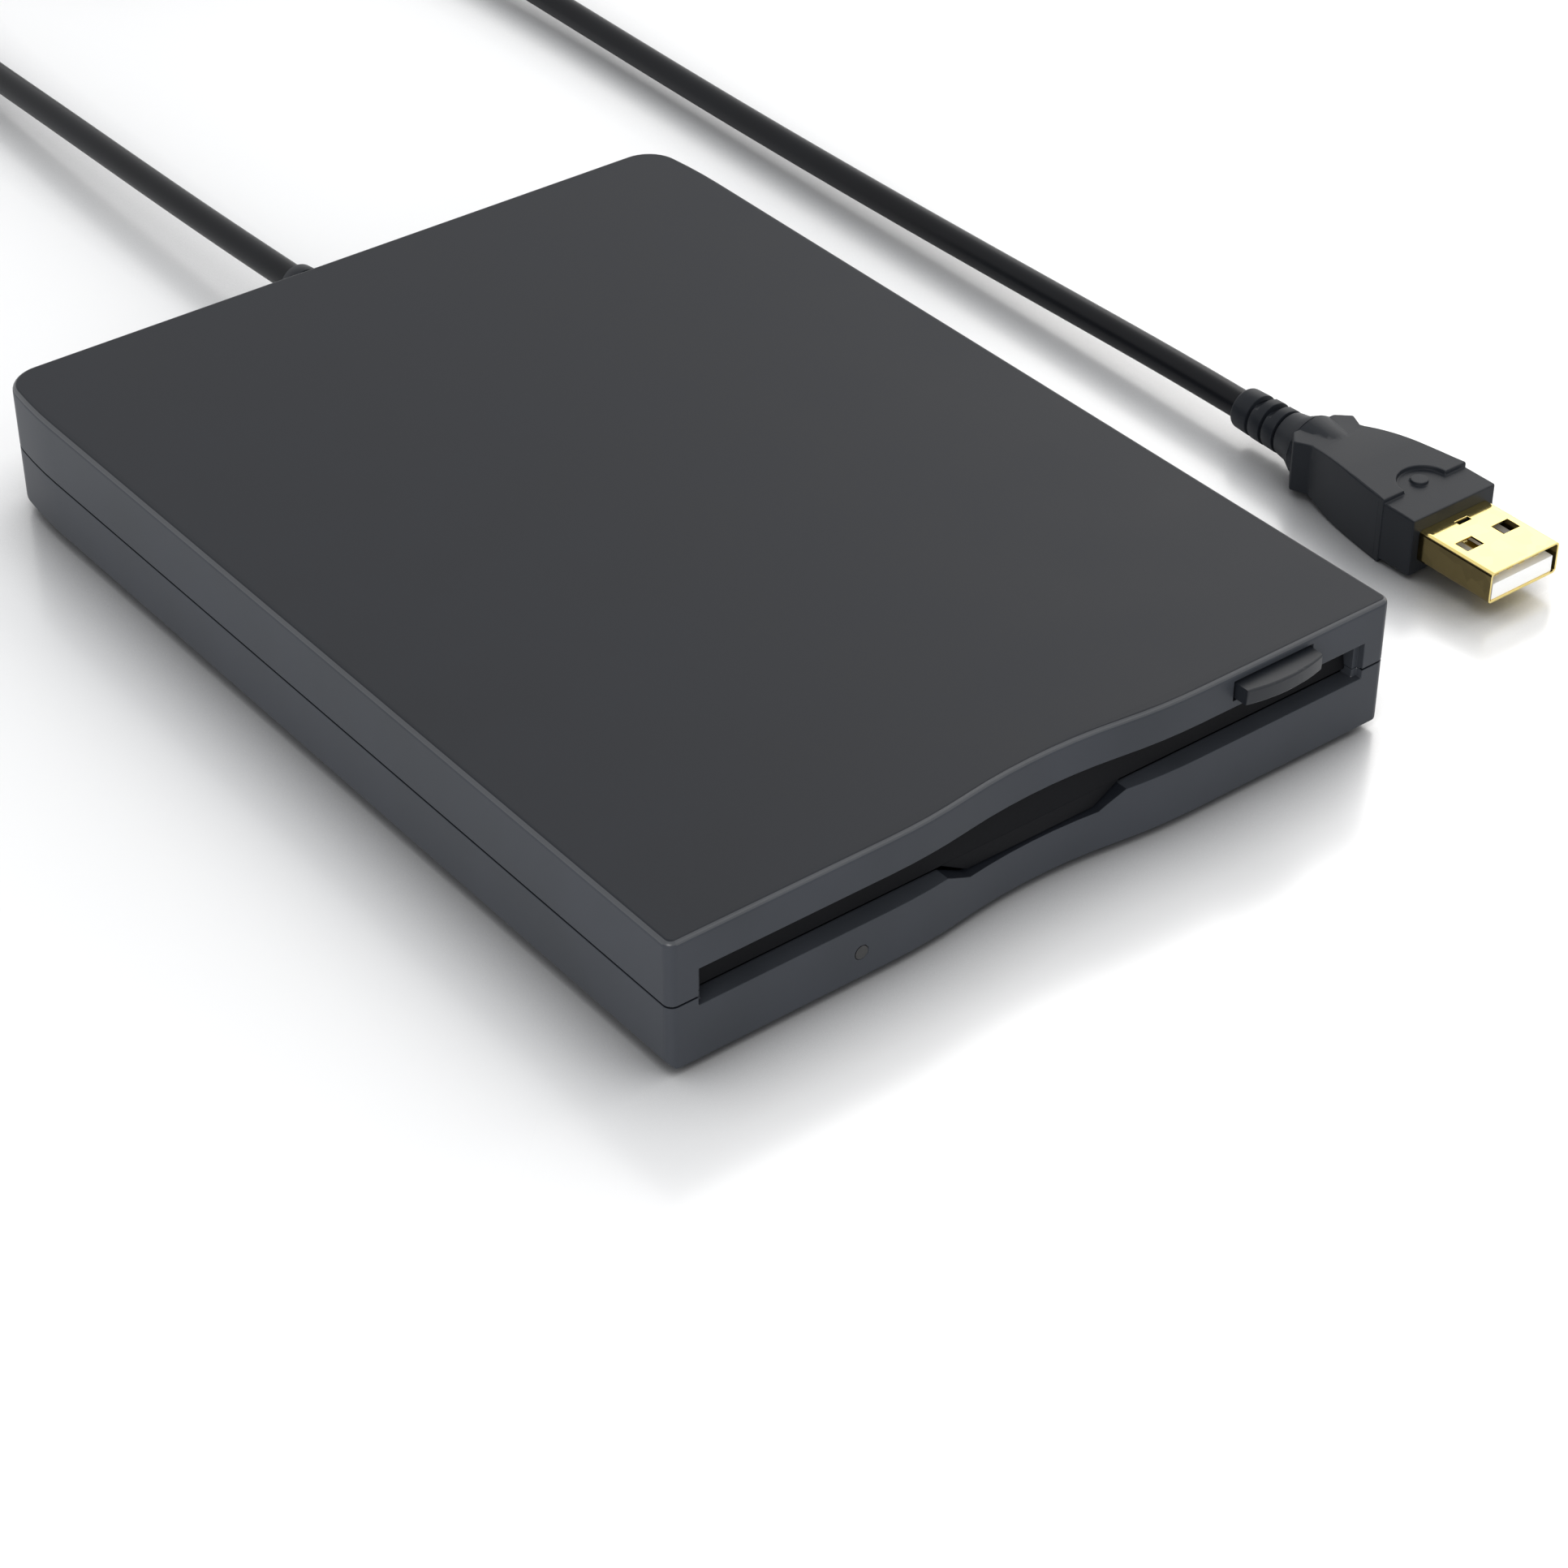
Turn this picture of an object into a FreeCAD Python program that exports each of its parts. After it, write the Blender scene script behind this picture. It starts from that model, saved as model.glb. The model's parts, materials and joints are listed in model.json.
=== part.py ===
"""An external 3.5 inch floppy disk drive with a captive USB cord.

Millimetres. X runs to the right seen from the front, -Y points out of the slot, +Z is up. The
origin is under the middle of the drive, on the surface that its feet stand on.
"""

import FreeCAD, Part
import math
import os
import Sketcher
from FreeCAD import Vector

doc = FreeCAD.newDocument("FloppyDrive")
sheet = doc.addObject("Spreadsheet::Sheet", "Sizes")
nodes = []


# ---------------------------------------------------------------- sizes

class Size:
    """A length that knows its number and the spreadsheet formula that gives it."""

    def __init__(self, value, text):
        self.value = float(value)
        self.text = text

    def __add__(self, other):
        other = as_size(other)
        return Size(self.value + other.value, f"({self.text} + {other.text})")

    def __radd__(self, other):
        return as_size(other) + self

    def __sub__(self, other):
        other = as_size(other)
        return Size(self.value - other.value, f"({self.text} - {other.text})")

    def __rsub__(self, other):
        return as_size(other) - self

    def __mul__(self, other):
        other = as_size(other)
        return Size(self.value * other.value, f"({self.text} * {other.text})")

    def __rmul__(self, other):
        return as_size(other) * self

    def __truediv__(self, other):
        other = as_size(other)
        return Size(self.value / other.value, f"({self.text} / {other.text})")

    def __neg__(self):
        return Size(-self.value, f"(-1 * {self.text})")

    def __float__(self):
        return self.value


def as_size(thing):
    """A plain number as a Size, and a Size as it is."""
    if isinstance(thing, Size):
        return thing
    return Size(thing, f"({float(thing)!r})")


def root_of(thing):
    """The square root of a Size."""
    return Size(math.sqrt(thing.value), f"sqrt({thing.text})")


def size(alias, value):
    """Writes one driving dimension to the next row of the sheet."""
    size.row += 1
    sheet.set(f"A{size.row}", alias)
    sheet.set(f"B{size.row}", str(value))
    sheet.setAlias(f"B{size.row}", alias)
    return Size(value, f"Sizes.{alias}")


size.row = 0

# The case.
case_width = size("case_width", 104.0)
case_depth = size("case_depth", 143.0)
case_height = size("case_height", 18.0)
foot_height = size("foot_height", 1.0)
wall = size("wall", 2.0)
roof = size("roof", 1.8)
floor = size("floor", 1.8)
parting = size("parting", 9.3)
reveal = size("reveal", 0.2)
reveal_depth = size("reveal_depth", 0.45)
front_corner = size("front_corner", 1.2)
rear_corner = size("rear_corner", 5.0)
rear_ease = size("rear_ease", 14.0)
rear_sweep = size("rear_sweep", 79.0)
top_round = size("top_round", 0.8)
base_chamfer = size("base_chamfer", 0.8)
wave_depth = size("wave_depth", 1.65)
wave_reach = size("wave_reach", 22.5)
lip_skin = size("lip_skin", 1.0)
fit_gap = size("fit_gap", 0.1)
run_gap = size("run_gap", 0.3)

# The slot and its door.
slot_half = size("slot_half", 48.2)
slot_low = size("slot_low", 8.2)
slot_high = size("slot_high", 13.1)
slot_step = size("slot_step", 0.8)
slot_step_depth = size("slot_step_depth", 0.9)
notch_at = size("notch_at", -0.9)
notch_top = size("notch_top", 13.5)
notch_bottom = size("notch_bottom", 9.6)
notch_low = size("notch_low", 6.45)
door_setback = size("door_setback", 1.9)
door_thick = size("door_thick", 1.1)
door_barrel = size("door_barrel", 0.75)
door_pin = size("door_pin", 0.6)
door_pin_length = size("door_pin_length", 1.4)
door_gap = size("door_gap", 0.35)

# The eject button.
button_left = size("button_left", 27.55)
button_wide = size("button_wide", 11.7)
button_tall = size("button_tall", 2.1)
button_low = size("button_low", 14.35)
button_proud = size("button_proud", 2.7)
button_crown = size("button_crown", 0.8)
eject_travel = size("eject_travel", 4.0)

# The lamp window.
lamp_x = size("lamp_x", -26.4)
lamp_z = size("lamp_z", 4.4)
lamp_radius = size("lamp_radius", 0.85)

# The diskette that the drive takes, and the play around it.
disk_half = size("disk_half", 45.0)
disk_long = size("disk_long", 94.0)
disk_thick = size("disk_thick", 3.3)
disk_front = size("disk_front", -65.0)
hub_from_lead = size("hub_from_lead", 46.0)
load_drop = size("load_drop", 2.0)

# Sheet metal of the mechanism.
sheet_metal = size("sheet_metal", 0.6)
carrier_metal = size("carrier_metal", 0.45)
chassis_half = size("chassis_half", 46.95)
chassis_low = size("chassis_low", 4.8)
chassis_high = size("chassis_high", 15.5)
chassis_front = size("chassis_front", -56.0)
chassis_long = size("chassis_long", 114.5)
cover_metal = size("cover_metal", 0.4)
bay_low = size("bay_low", 9.0)
bay_tall = size("bay_tall", 4.3)
pin_radius = size("pin_radius", 0.7)
pin_height = size("pin_height", 10.9)
screw_head = size("screw_head", 1.9)
screw_shank = size("screw_shank", 0.9)

# The cord.
cord_radius = size("cord_radius", 2.0)
exit_x = size("exit_x", 0.5)
exit_z = size("exit_z", 7.8)
relief_long = size("relief_long", 13.6)
coil_radius = size("coil_radius", 22.0)
coil_bundle = size("coil_bundle", 4.4)
tie_thick = size("tie_thick", 0.5)
plug_x = size("plug_x", 83.8)
plug_z = size("plug_z", 4.65)
plug_front = size("plug_front", -62.95)
shell_wide = size("shell_wide", 12.0)
shell_tall = size("shell_tall", 4.5)
shell_long = size("shell_long", 12.25)
shell_metal = size("shell_metal", 0.3)

doc.recompute()

# Places that follow from them.
half = case_width / 2
front = -(case_depth - button_proud) / 2
rear = (case_depth + button_proud) / 2
skirt = foot_height
inner_half = half - wall
inner_rear = rear - wall
inner_front = front + wave_depth + lip_skin
floor_top = skirt + floor
roof_under = case_height - roof
door_face = front + door_setback
pivot_y = inner_front + run_gap + door_barrel
pivot_z = button_low - run_gap - door_barrel + run_gap * 2
chassis_top = chassis_low + sheet_metal
chassis_rear = chassis_front + chassis_long
bay_high = bay_low + bay_tall
carrier_half = disk_half + 0.15 + carrier_metal
disk_rear = disk_front + disk_long
spindle_y = disk_rear - hub_from_lead
seat_z = bay_low - load_drop + fit_gap


# ---------------------------------------------------------------- helpers

def bind(thing, name, value):
    """Sets a property from a Size, through the sheet where the Size comes from it."""
    value = as_size(value)
    if "Sizes." in value.text:
        thing.setExpression(name, value.text)
    elif name.startswith("Placement.Base."):
        base = thing.Placement.Base
        setattr(base, name[-1], value.value)
        thing.Placement = FreeCAD.Placement(base, thing.Placement.Rotation)
    else:
        setattr(thing, name, value.value)


def keep(thing, label):
    """Marks a finished sub-part."""
    thing.Label = label
    nodes.append(thing)
    return thing


def box(name, x, y, z):
    """A Part::Box from its lowest and highest X, Y and Z."""
    made = doc.addObject("Part::Box", name)
    for side, span in (("Length", x), ("Width", y), ("Height", z)):
        bind(made, side, as_size(span[1]) - span[0])
    for axis, span in (("x", x), ("y", y), ("z", z)):
        bind(made, f"Placement.Base.{axis}", span[0])
    return made


TURNS = {"X": (Vector(0, 1, 0), 90), "Y": (Vector(1, 0, 0), -90), "Z": (Vector(0, 0, 1), 0)}


def rod(name, along, at, radius, length):
    """A Part::Cylinder from the point at, growing the positive way along one axis."""
    made = doc.addObject("Part::Cylinder", name)
    made.Placement = FreeCAD.Placement(Vector(), FreeCAD.Rotation(*TURNS[along]))
    bind(made, "Radius", radius)
    bind(made, "Height", length)
    for axis, value in zip("xyz", at):
        bind(made, f"Placement.Base.{axis}", value)
    return made


def stub(name, at, radius, length, along="Z"):
    """A small eight-sided pin, for what is too small or too hidden to need a round one."""
    made = doc.addObject("Part::Prism", name)
    made.Polygon = 8
    made.Placement = FreeCAD.Placement(Vector(), FreeCAD.Rotation(*TURNS[along]))
    bind(made, "Circumradius", radius)
    bind(made, "Height", length)
    for axis, value in zip("xyz", at):
        bind(made, f"Placement.Base.{axis}", value)
    return made


def joined(name, pieces):
    """One solid from pieces that touch or overlap."""
    made = doc.addObject("Part::MultiFuse", name)
    made.Shapes = pieces
    made.Refine = True
    return made


def less(name, base, tools):
    """The base without the tools."""
    made = doc.addObject("Part::Cut", name)
    made.Base = base
    made.Tool = tools[0] if len(tools) == 1 else joined(name + "_tools", tools)
    made.Refine = True
    return made


def together(name, pieces):
    """Separate solids in one sub-part."""
    made = doc.addObject("Part::Compound", name)
    made.Links = pieces
    return made


def body(name):
    return doc.addObject("PartDesign::Body", name)


def origin_plane(owner, role):
    return next(f for f in owner.Origin.OriginFeatures if f.Role == role)


def place_sketch(owner, name, role, height):
    """An empty sketch on one of the body's own planes, moved along its normal."""
    made = owner.newObject("Sketcher::SketchObject", name)
    made.AttachmentSupport = [(origin_plane(owner, role), "")]
    made.MapMode = "FlatFace"
    height = as_size(height)
    made.AttachmentOffset = FreeCAD.Placement(Vector(0, 0, height.value), FreeCAD.Rotation())
    if "Sizes." in height.text:
        made.setExpression("AttachmentOffset.Base.z", height.text)
    return made


def hold(sketch, kind, *parts):
    """Adds one constraint, whose last part may be a Size."""
    if isinstance(parts[-1], Size):
        number = sketch.addConstraint(Sketcher.Constraint(kind, *parts[:-1], parts[-1].value))
        if "Sizes." in parts[-1].text:
            sketch.setExpression(f"Constraints[{number}]", parts[-1].text)
    else:
        sketch.addConstraint(Sketcher.Constraint(kind, *parts))


def arc_between(start, end, radius, side):
    """The short arc between two points, with its centre on the left (1) or right (-1)."""
    chord = end - start
    middle = (start + end) * 0.5
    normal = Vector(-chord.y, chord.x, 0).normalize() * side
    centre = middle + normal * math.sqrt(max(radius ** 2 - chord.Length ** 2 / 4, 0.0))
    first = math.atan2(start.y - centre.y, start.x - centre.x)
    last = math.atan2(end.y - centre.y, end.x - centre.x)
    if side < 0:
        first, last = last, first
    circle = Part.Circle(centre, Vector(0, 0, 1), radius)
    return Part.ArcOfCircle(circle, first, last if last > first else last + 2 * math.pi)


def outline(owner, name, role, height, corners, arcs=None):
    """A closed sketch through the corners; arcs maps an edge to its radius and centre side."""
    arcs = arcs or {}
    made = place_sketch(owner, name, role, height)
    corners = [(as_size(a), as_size(b)) for a, b in corners]
    points = [Vector(a.value, b.value, 0) for a, b in corners]
    count = len(points)
    for edge in range(count):
        start, end = points[edge], points[(edge + 1) % count]
        if edge in arcs:
            radius, side = arcs[edge]
            made.addGeometry(arc_between(start, end, float(radius), side), False)
        else:
            made.addGeometry(Part.LineSegment(start, end), False)
    ends = {edge: (1, 2) if edge not in arcs or arcs[edge][1] > 0 else (2, 1)
            for edge in range(count)}
    for edge in range(count):
        following = (edge + 1) % count
        hold(made, "Coincident", edge, ends[edge][1], following, ends[following][0])
        hold(made, "DistanceX", -1, 1, edge, ends[edge][0], corners[edge][0])
        hold(made, "DistanceY", -1, 1, edge, ends[edge][0], corners[edge][1])
        if edge in arcs:
            hold(made, "Radius", edge, as_size(arcs[edge][0]))
    return made


def rectangle(owner, name, role, height, across, up):
    """A sketch of one rectangle, from its lowest and highest values both ways."""
    (left, right), (low, high) = across, up
    return outline(owner, name, role, height,
                   [(left, low), (right, low), (right, high), (left, high)])


def circles(owner, name, role, height, places, radius):
    """A sketch of equal circles."""
    made = place_sketch(owner, name, role, height)
    for number, (across, up) in enumerate(places):
        across, up, radius = as_size(across), as_size(up), as_size(radius)
        centre = Vector(across.value, up.value, 0)
        made.addGeometry(Part.Circle(centre, Vector(0, 0, 1), radius.value), False)
        hold(made, "DistanceX", -1, 1, number, 3, across)
        hold(made, "DistanceY", -1, 1, number, 3, up)
        hold(made, "Radius", number, radius)
    return made


def feature(owner, kind, sketch, length, backwards=False):
    """A Pad or Pocket of a sketch; backwards turns its direction round."""
    made = owner.newObject(f"PartDesign::{kind}", f"{sketch.Name}_{kind.lower()}")
    made.Profile = sketch
    bind(made, "Length", length)
    made.Reversed = backwards
    return made


def pad(owner, sketch, length, backwards=False):
    return feature(owner, "Pad", sketch, length, backwards)


def pocket(owner, sketch, length, backwards=False):
    return feature(owner, "Pocket", sketch, length, backwards)


def dress(owner, kind, name, chosen, amount):
    """A Fillet or Chamfer on the edges of the tip that the function chosen picks."""
    doc.recompute()
    base = owner.Tip
    edges = [f"Edge{i + 1}" for i, edge in enumerate(base.Shape.Edges) if chosen(edge)]
    made = owner.newObject(f"PartDesign::{kind}", name)
    made.Base = (base, edges)
    bind(made, "Radius" if kind == "Fillet" else "Size", amount)
    return made


def at_height(edge, z):
    """Whether an edge lies flat at a height."""
    return abs(edge.BoundBox.ZMin - float(z)) < 1e-4 and abs(edge.BoundBox.ZMax - float(z)) < 1e-4


def upright_at(edge, x, y):
    """Whether an edge is a straight upright at a place."""
    box_ = edge.BoundBox
    flat = abs(box_.XMax - box_.XMin) < 1e-4 and abs(box_.YMax - box_.YMin) < 1e-4
    return flat and abs(abs(box_.XMin) - float(x)) < 1e-3 and abs(box_.YMin - float(y)) < 1e-3


def tapped(name, at, radius, length, head, head_length, up=True):
    """A pan head screw on Z, from the seat of its head."""
    x, y, z = at
    shank_z = z if up else z - as_size(length)
    head_z = z - as_size(head_length) if up else z
    shank = stub(name + "_shank", (x, y, shank_z), radius, length)
    return joined(name, [shank, rod(name + "_head", "Z", (x, y, head_z), head, head_length)])


# ---------------------------------------------------------------- the case

def case_corners(inset, flat_front=None):
    """The case seen from above, drawn in by inset, and its arcs.

    The sides ease in over the last stretch before the small rear corners. The front is straight
    at both ends and one smooth wave in the middle, or one straight line where flat_front is given.
    """
    sine = (rear_ease - rear_corner) / (rear_sweep - rear_corner)
    cosine = root_of(1 - sine * sine)
    side = half - inset
    sweep = rear_sweep - inset
    ease_x = half - rear_sweep + sweep * cosine
    ease_y = rear - rear_ease + sweep * sine
    round_x = half - rear_sweep + (rear_sweep - rear_corner) * cosine
    back = [(side, rear - rear_ease), (ease_x, ease_y), (round_x, rear - inset)]
    mirrored = [(-x, y) for x, y in reversed(back)]
    small = rear_corner - inset
    if flat_front is not None:
        corners = [(-side, flat_front), (side, flat_front)] + back + mirrored
        arcs = {2: (sweep, 1), 3: (small, 1), 5: (small, 1), 6: (sweep, 1)}
        return corners, arcs
    swing = (wave_reach * wave_reach + wave_depth * wave_depth) / (wave_depth * 4)
    level = front + inset
    middle = level + wave_depth / 2
    wave = [(-side, level), (-wave_reach, level), (-wave_reach / 2, middle),
            (wave_reach / 2, middle), (wave_reach, level), (side, level)]
    arcs = {1: (swing, 1), 2: (swing, -1), 3: (swing, 1),
            6: (sweep, 1), 7: (small, 1), 9: (small, 1), 10: (sweep, 1)}
    return wave + back + mirrored, arcs


def slot_cut(owner, name, low, high):
    """Cuts the slot's mouth and its narrower throat through the front wall."""
    mouth = rectangle(owner, name + "_mouth", "XZ_Plane", -(front + slot_step_depth),
                      (-slot_half, slot_half), (low, high))
    pocket(owner, mouth, wall * 2, True)
    throat_half = slot_half - slot_step
    throat = rectangle(owner, name + "_throat", "XZ_Plane", -(inner_front + wall),
                       (-throat_half, throat_half), (low, high))
    pocket(owner, throat, wall * 4, True)


case_screws_at = [(inner_half - 6.0, inner_rear - 5.5), (-(inner_half - 6.0), inner_rear - 5.5)]
chassis_screws_at = [(x, y) for x in (-40.0, 40.0) for y in (-50.0, 50.0)]
feet_at = [(x, y) for x in (-(inner_half - 8.0), inner_half - 8.0)
           for y in (front + 11.0, rear - 17.0)]
foot_radius = as_size(4.0)
foot_recess = as_size(0.4)
boss_radius = as_size(2.9)


def build_bottom_shell():
    owner = body("BottomShell")
    corners, arcs = case_corners(as_size(0.0))
    pad(owner, outline(owner, "bottom_outline", "XY_Plane", skirt, corners, arcs), parting - skirt)
    dress(owner, "Chamfer", "bottom_chamfer",
          lambda e: at_height(e, skirt) and e.BoundBox.YMax > float(front) + 3.0, base_chamfer)
    dress(owner, "Fillet", "bottom_front_corners",
          lambda e: upright_at(e, half, front), front_corner)
    corners, arcs = case_corners(wall, inner_front)
    inside = outline(owner, "bottom_inside", "XY_Plane", floor_top, corners, arcs)
    pocket(owner, inside, parting, True)
    # Posts that the chassis stands on, bosses that the case screws pull down on, board pegs.
    posts = circles(owner, "chassis_posts", "XY_Plane", floor_top, chassis_screws_at, 2.6)
    pad(owner, posts, chassis_low - floor_top)
    bosses = circles(owner, "bottom_bosses", "XY_Plane", floor_top, case_screws_at, boss_radius)
    pad(owner, bosses, parting - floor_top)
    for number, y in enumerate((-40.0, 44.0)):
        bar = rectangle(owner, f"board_bar_{number}", "XY_Plane", floor_top,
                        (-33.0, 33.0), (y - 1.0, y + 1.0))
        pad(owner, bar, board_low - floor_top)
    for number, (x, y) in enumerate(usb_pegs_at):
        post = rectangle(owner, f"usb_board_post_{number}", "XY_Plane", floor_top,
                         (x - 1.6, x + 1.6), (y - 1.6, y + 1.6))
        pad(owner, post, usb_board_low - floor_top)
        stake = rectangle(owner, f"usb_board_stake_{number}", "XY_Plane", usb_board_low,
                          (x - 0.6, x + 0.6), (y - 0.6, y + 0.6))
        pad(owner, stake, board_thick + 0.6)
    # Ribs that stand up inside the top shell's walls and line the halves up.
    for side in (-1, 1):
        name = "left" if side < 0 else "right"
        for number, y in enumerate((-48.0, -8.0, 36.0)):
            outer = (inner_half - fit_gap) * side
            inner = (inner_half - fit_gap - 1.0) * side
            across = (outer, inner) if side < 0 else (inner, outer)
            rib = rectangle(owner, f"{name}_rib_{number}", "XY_Plane", floor_top,
                            across, (y - 5.0, y + 5.0))
            pad(owner, rib, parting - floor_top + 1.4)
            root = (inner_half + 0.5) * side
            across = (root, inner) if side < 0 else (inner, root)
            foot = rectangle(owner, f"{name}_rib_foot_{number}", "XY_Plane", floor_top,
                             across, (y - 5.0, y + 5.0))
            pad(owner, foot, parting - floor_top - 0.5)
    slot_cut(owner, "bottom_slot", slot_low, parting + 1.0)
    notch = outline(owner, "thumb_notch", "XZ_Plane", -(inner_front + wall), [
        (notch_at - notch_bottom, notch_low), (notch_at + notch_bottom, notch_low),
        (notch_at + notch_top, slot_low + 0.2), (notch_at - notch_top, slot_low + 0.2)])
    pocket(owner, notch, wall * 4, True)
    lamp = circles(owner, "lamp_hole", "XZ_Plane", -(inner_front + wall), [(lamp_x, lamp_z)],
                   lamp_radius + fit_gap / 2)
    pocket(owner, lamp, wall * 4, True)
    cord = circles(owner, "bottom_cord_hole", "XZ_Plane", -(rear + wall), [(exit_x, exit_z)],
                   neck_radius + fit_gap)
    pocket(owner, cord, wall * 2, True)
    neck = neck_radius + fit_gap
    drop = rectangle(owner, "bottom_cord_notch", "XZ_Plane", -(rear + wall),
                     (exit_x - neck, exit_x + neck), (exit_z, parting + 1.0))
    pocket(owner, drop, wall * 2, True)
    feet = circles(owner, "foot_recesses", "XY_Plane", skirt, feet_at, foot_radius + fit_gap)
    pocket(owner, feet, foot_recess, True)
    sink = circles(owner, "screw_sinks", "XY_Plane", skirt, case_screws_at, screw_head + 0.3)
    pocket(owner, sink, screw_seat - skirt, True)
    through = circles(owner, "screw_ways", "XY_Plane", skirt, case_screws_at, screw_shank + 0.2)
    pocket(owner, through, case_height, True)
    pilots = circles(owner, "post_pilots", "XY_Plane", floor_top - 0.9, chassis_screws_at,
                     screw_shank + 0.05)
    pocket(owner, pilots, case_height, True)
    return keep(owner, "bottom_shell")


def build_top_shell():
    owner = body("TopShell")
    rim = parting + reveal
    corners, arcs = case_corners(as_size(0.0))
    pad(owner, outline(owner, "top_outline", "XY_Plane", rim, corners, arcs), case_height - rim)
    dress(owner, "Fillet", "top_front_corners", lambda e: upright_at(e, half, front), front_corner)
    dress(owner, "Fillet", "top_edge_round", lambda e: at_height(e, case_height), top_round)
    corners, arcs = case_corners(reveal_depth)
    pad(owner, outline(owner, "top_land", "XY_Plane", parting, corners, arcs), reveal + 0.1)
    corners, arcs = case_corners(wall, inner_front)
    inside = outline(owner, "top_inside", "XY_Plane", parting - 0.5, corners, arcs)
    pocket(owner, inside, roof_under - parting + 0.5, True)
    bosses = circles(owner, "top_bosses", "XY_Plane", parting, case_screws_at, boss_radius)
    pad(owner, bosses, roof_under - parting + 0.2)
    # Ears that carry the door's pivot pins.
    for side in (-1, 1):
        name = "left" if side < 0 else "right"
        outer = (inner_half + 0.2) * side
        inner = (slot_half - slot_step) * side
        across = (outer, inner) if side < 0 else (inner, outer)
        ear = rectangle(owner, f"{name}_ear", "XY_Plane", pivot_z - 1.5,
                        across, (inner_front - 0.2, pivot_y + 1.5))
        pad(owner, ear, roof_under - pivot_z + 1.7)
    # Ribs that guide the button.
    ribs_y = (inner_front - 0.2, inner_front + 6.0)
    right = button_left + button_wide + run_gap
    for name, x in (("inner", (button_left - run_gap - 0.8, button_left - run_gap)),
                    ("outer", (right, right + 0.8))):
        rib = rectangle(owner, f"button_rib_{name}", "XY_Plane", button_low + 0.5, x, ribs_y)
        pad(owner, rib, roof_under - button_low - 0.3)
    slot_cut(owner, "top_slot", parting - 1.0, slot_high)
    window = rectangle(owner, "button_window", "XZ_Plane", -(inner_front + 0.05),
                       (button_left - run_gap, right),
                       (button_low - run_gap + 0.05, button_low + button_tall + run_gap))
    pocket(owner, window, wall * 3, True)
    bore_half = slot_half - slot_step + door_pin_length + fit_gap
    bores = circles(owner, "pivot_bores", "YZ_Plane", -bore_half, [(pivot_y, pivot_z)],
                    door_pin + 0.06)
    pocket(owner, bores, bore_half * 2, True)
    cord = circles(owner, "top_cord_hole", "XZ_Plane", -(rear + wall), [(exit_x, exit_z)],
                   neck_radius + fit_gap)
    pocket(owner, cord, wall * 2, True)
    pilots = circles(owner, "case_pilots", "XY_Plane", parting - 0.5, case_screws_at,
                     screw_shank + 0.05)
    pocket(owner, pilots, roof_under - parting - 0.5, True)
    return keep(owner, "top_shell")


def build_feet():
    feet = [rod(f"Foot{i}", "Z", (x, y, 0.0), foot_radius, foot_height + foot_recess)
            for i, (x, y) in enumerate(feet_at)]
    return keep(together("RubberFeet", feet), "rubber_feet")


screw_seat = skirt + 4.0


def build_case_screws():
    long = roof_under - screw_seat - 2.0
    screws = [tapped(f"CaseScrew{i}", (x, y, screw_seat), screw_shank, long, screw_head, 1.3)
              for i, (x, y) in enumerate(case_screws_at)]
    return keep(together("CaseScrews", screws), "case_screws")


def build_lamp():
    """The round window, flush in the front wall, and the light pipe behind it."""
    window = rod("LampWindow", "Y", (lamp_x, front, lamp_z), lamp_radius, inner_front - front)
    flange = rod("LampFlange", "Y", (lamp_x, inner_front, lamp_z), lamp_radius * 1.7, 0.8)
    pipe = rod("LightPipe", "Y", (lamp_x, inner_front, lamp_z), lamp_radius,
               chassis_front - 2.0 - inner_front)
    keep(joined("LampPipe", [window, flange, pipe]), "lamp_window")
    chip = box("LampChip", (lamp_x - 0.8, lamp_x + 0.8),
               (chassis_front - 1.7, chassis_front - 0.6), (board_low + board_thick, lamp_z + 0.8))
    return keep(chip, "lamp_led")


# ---------------------------------------------------------------- the door

door_half = slot_half - slot_step - 0.2
door_low = slot_low + door_gap * 2.3
spring_left = as_size(-44.5)
spring_right = as_size(-41.5)


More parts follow.
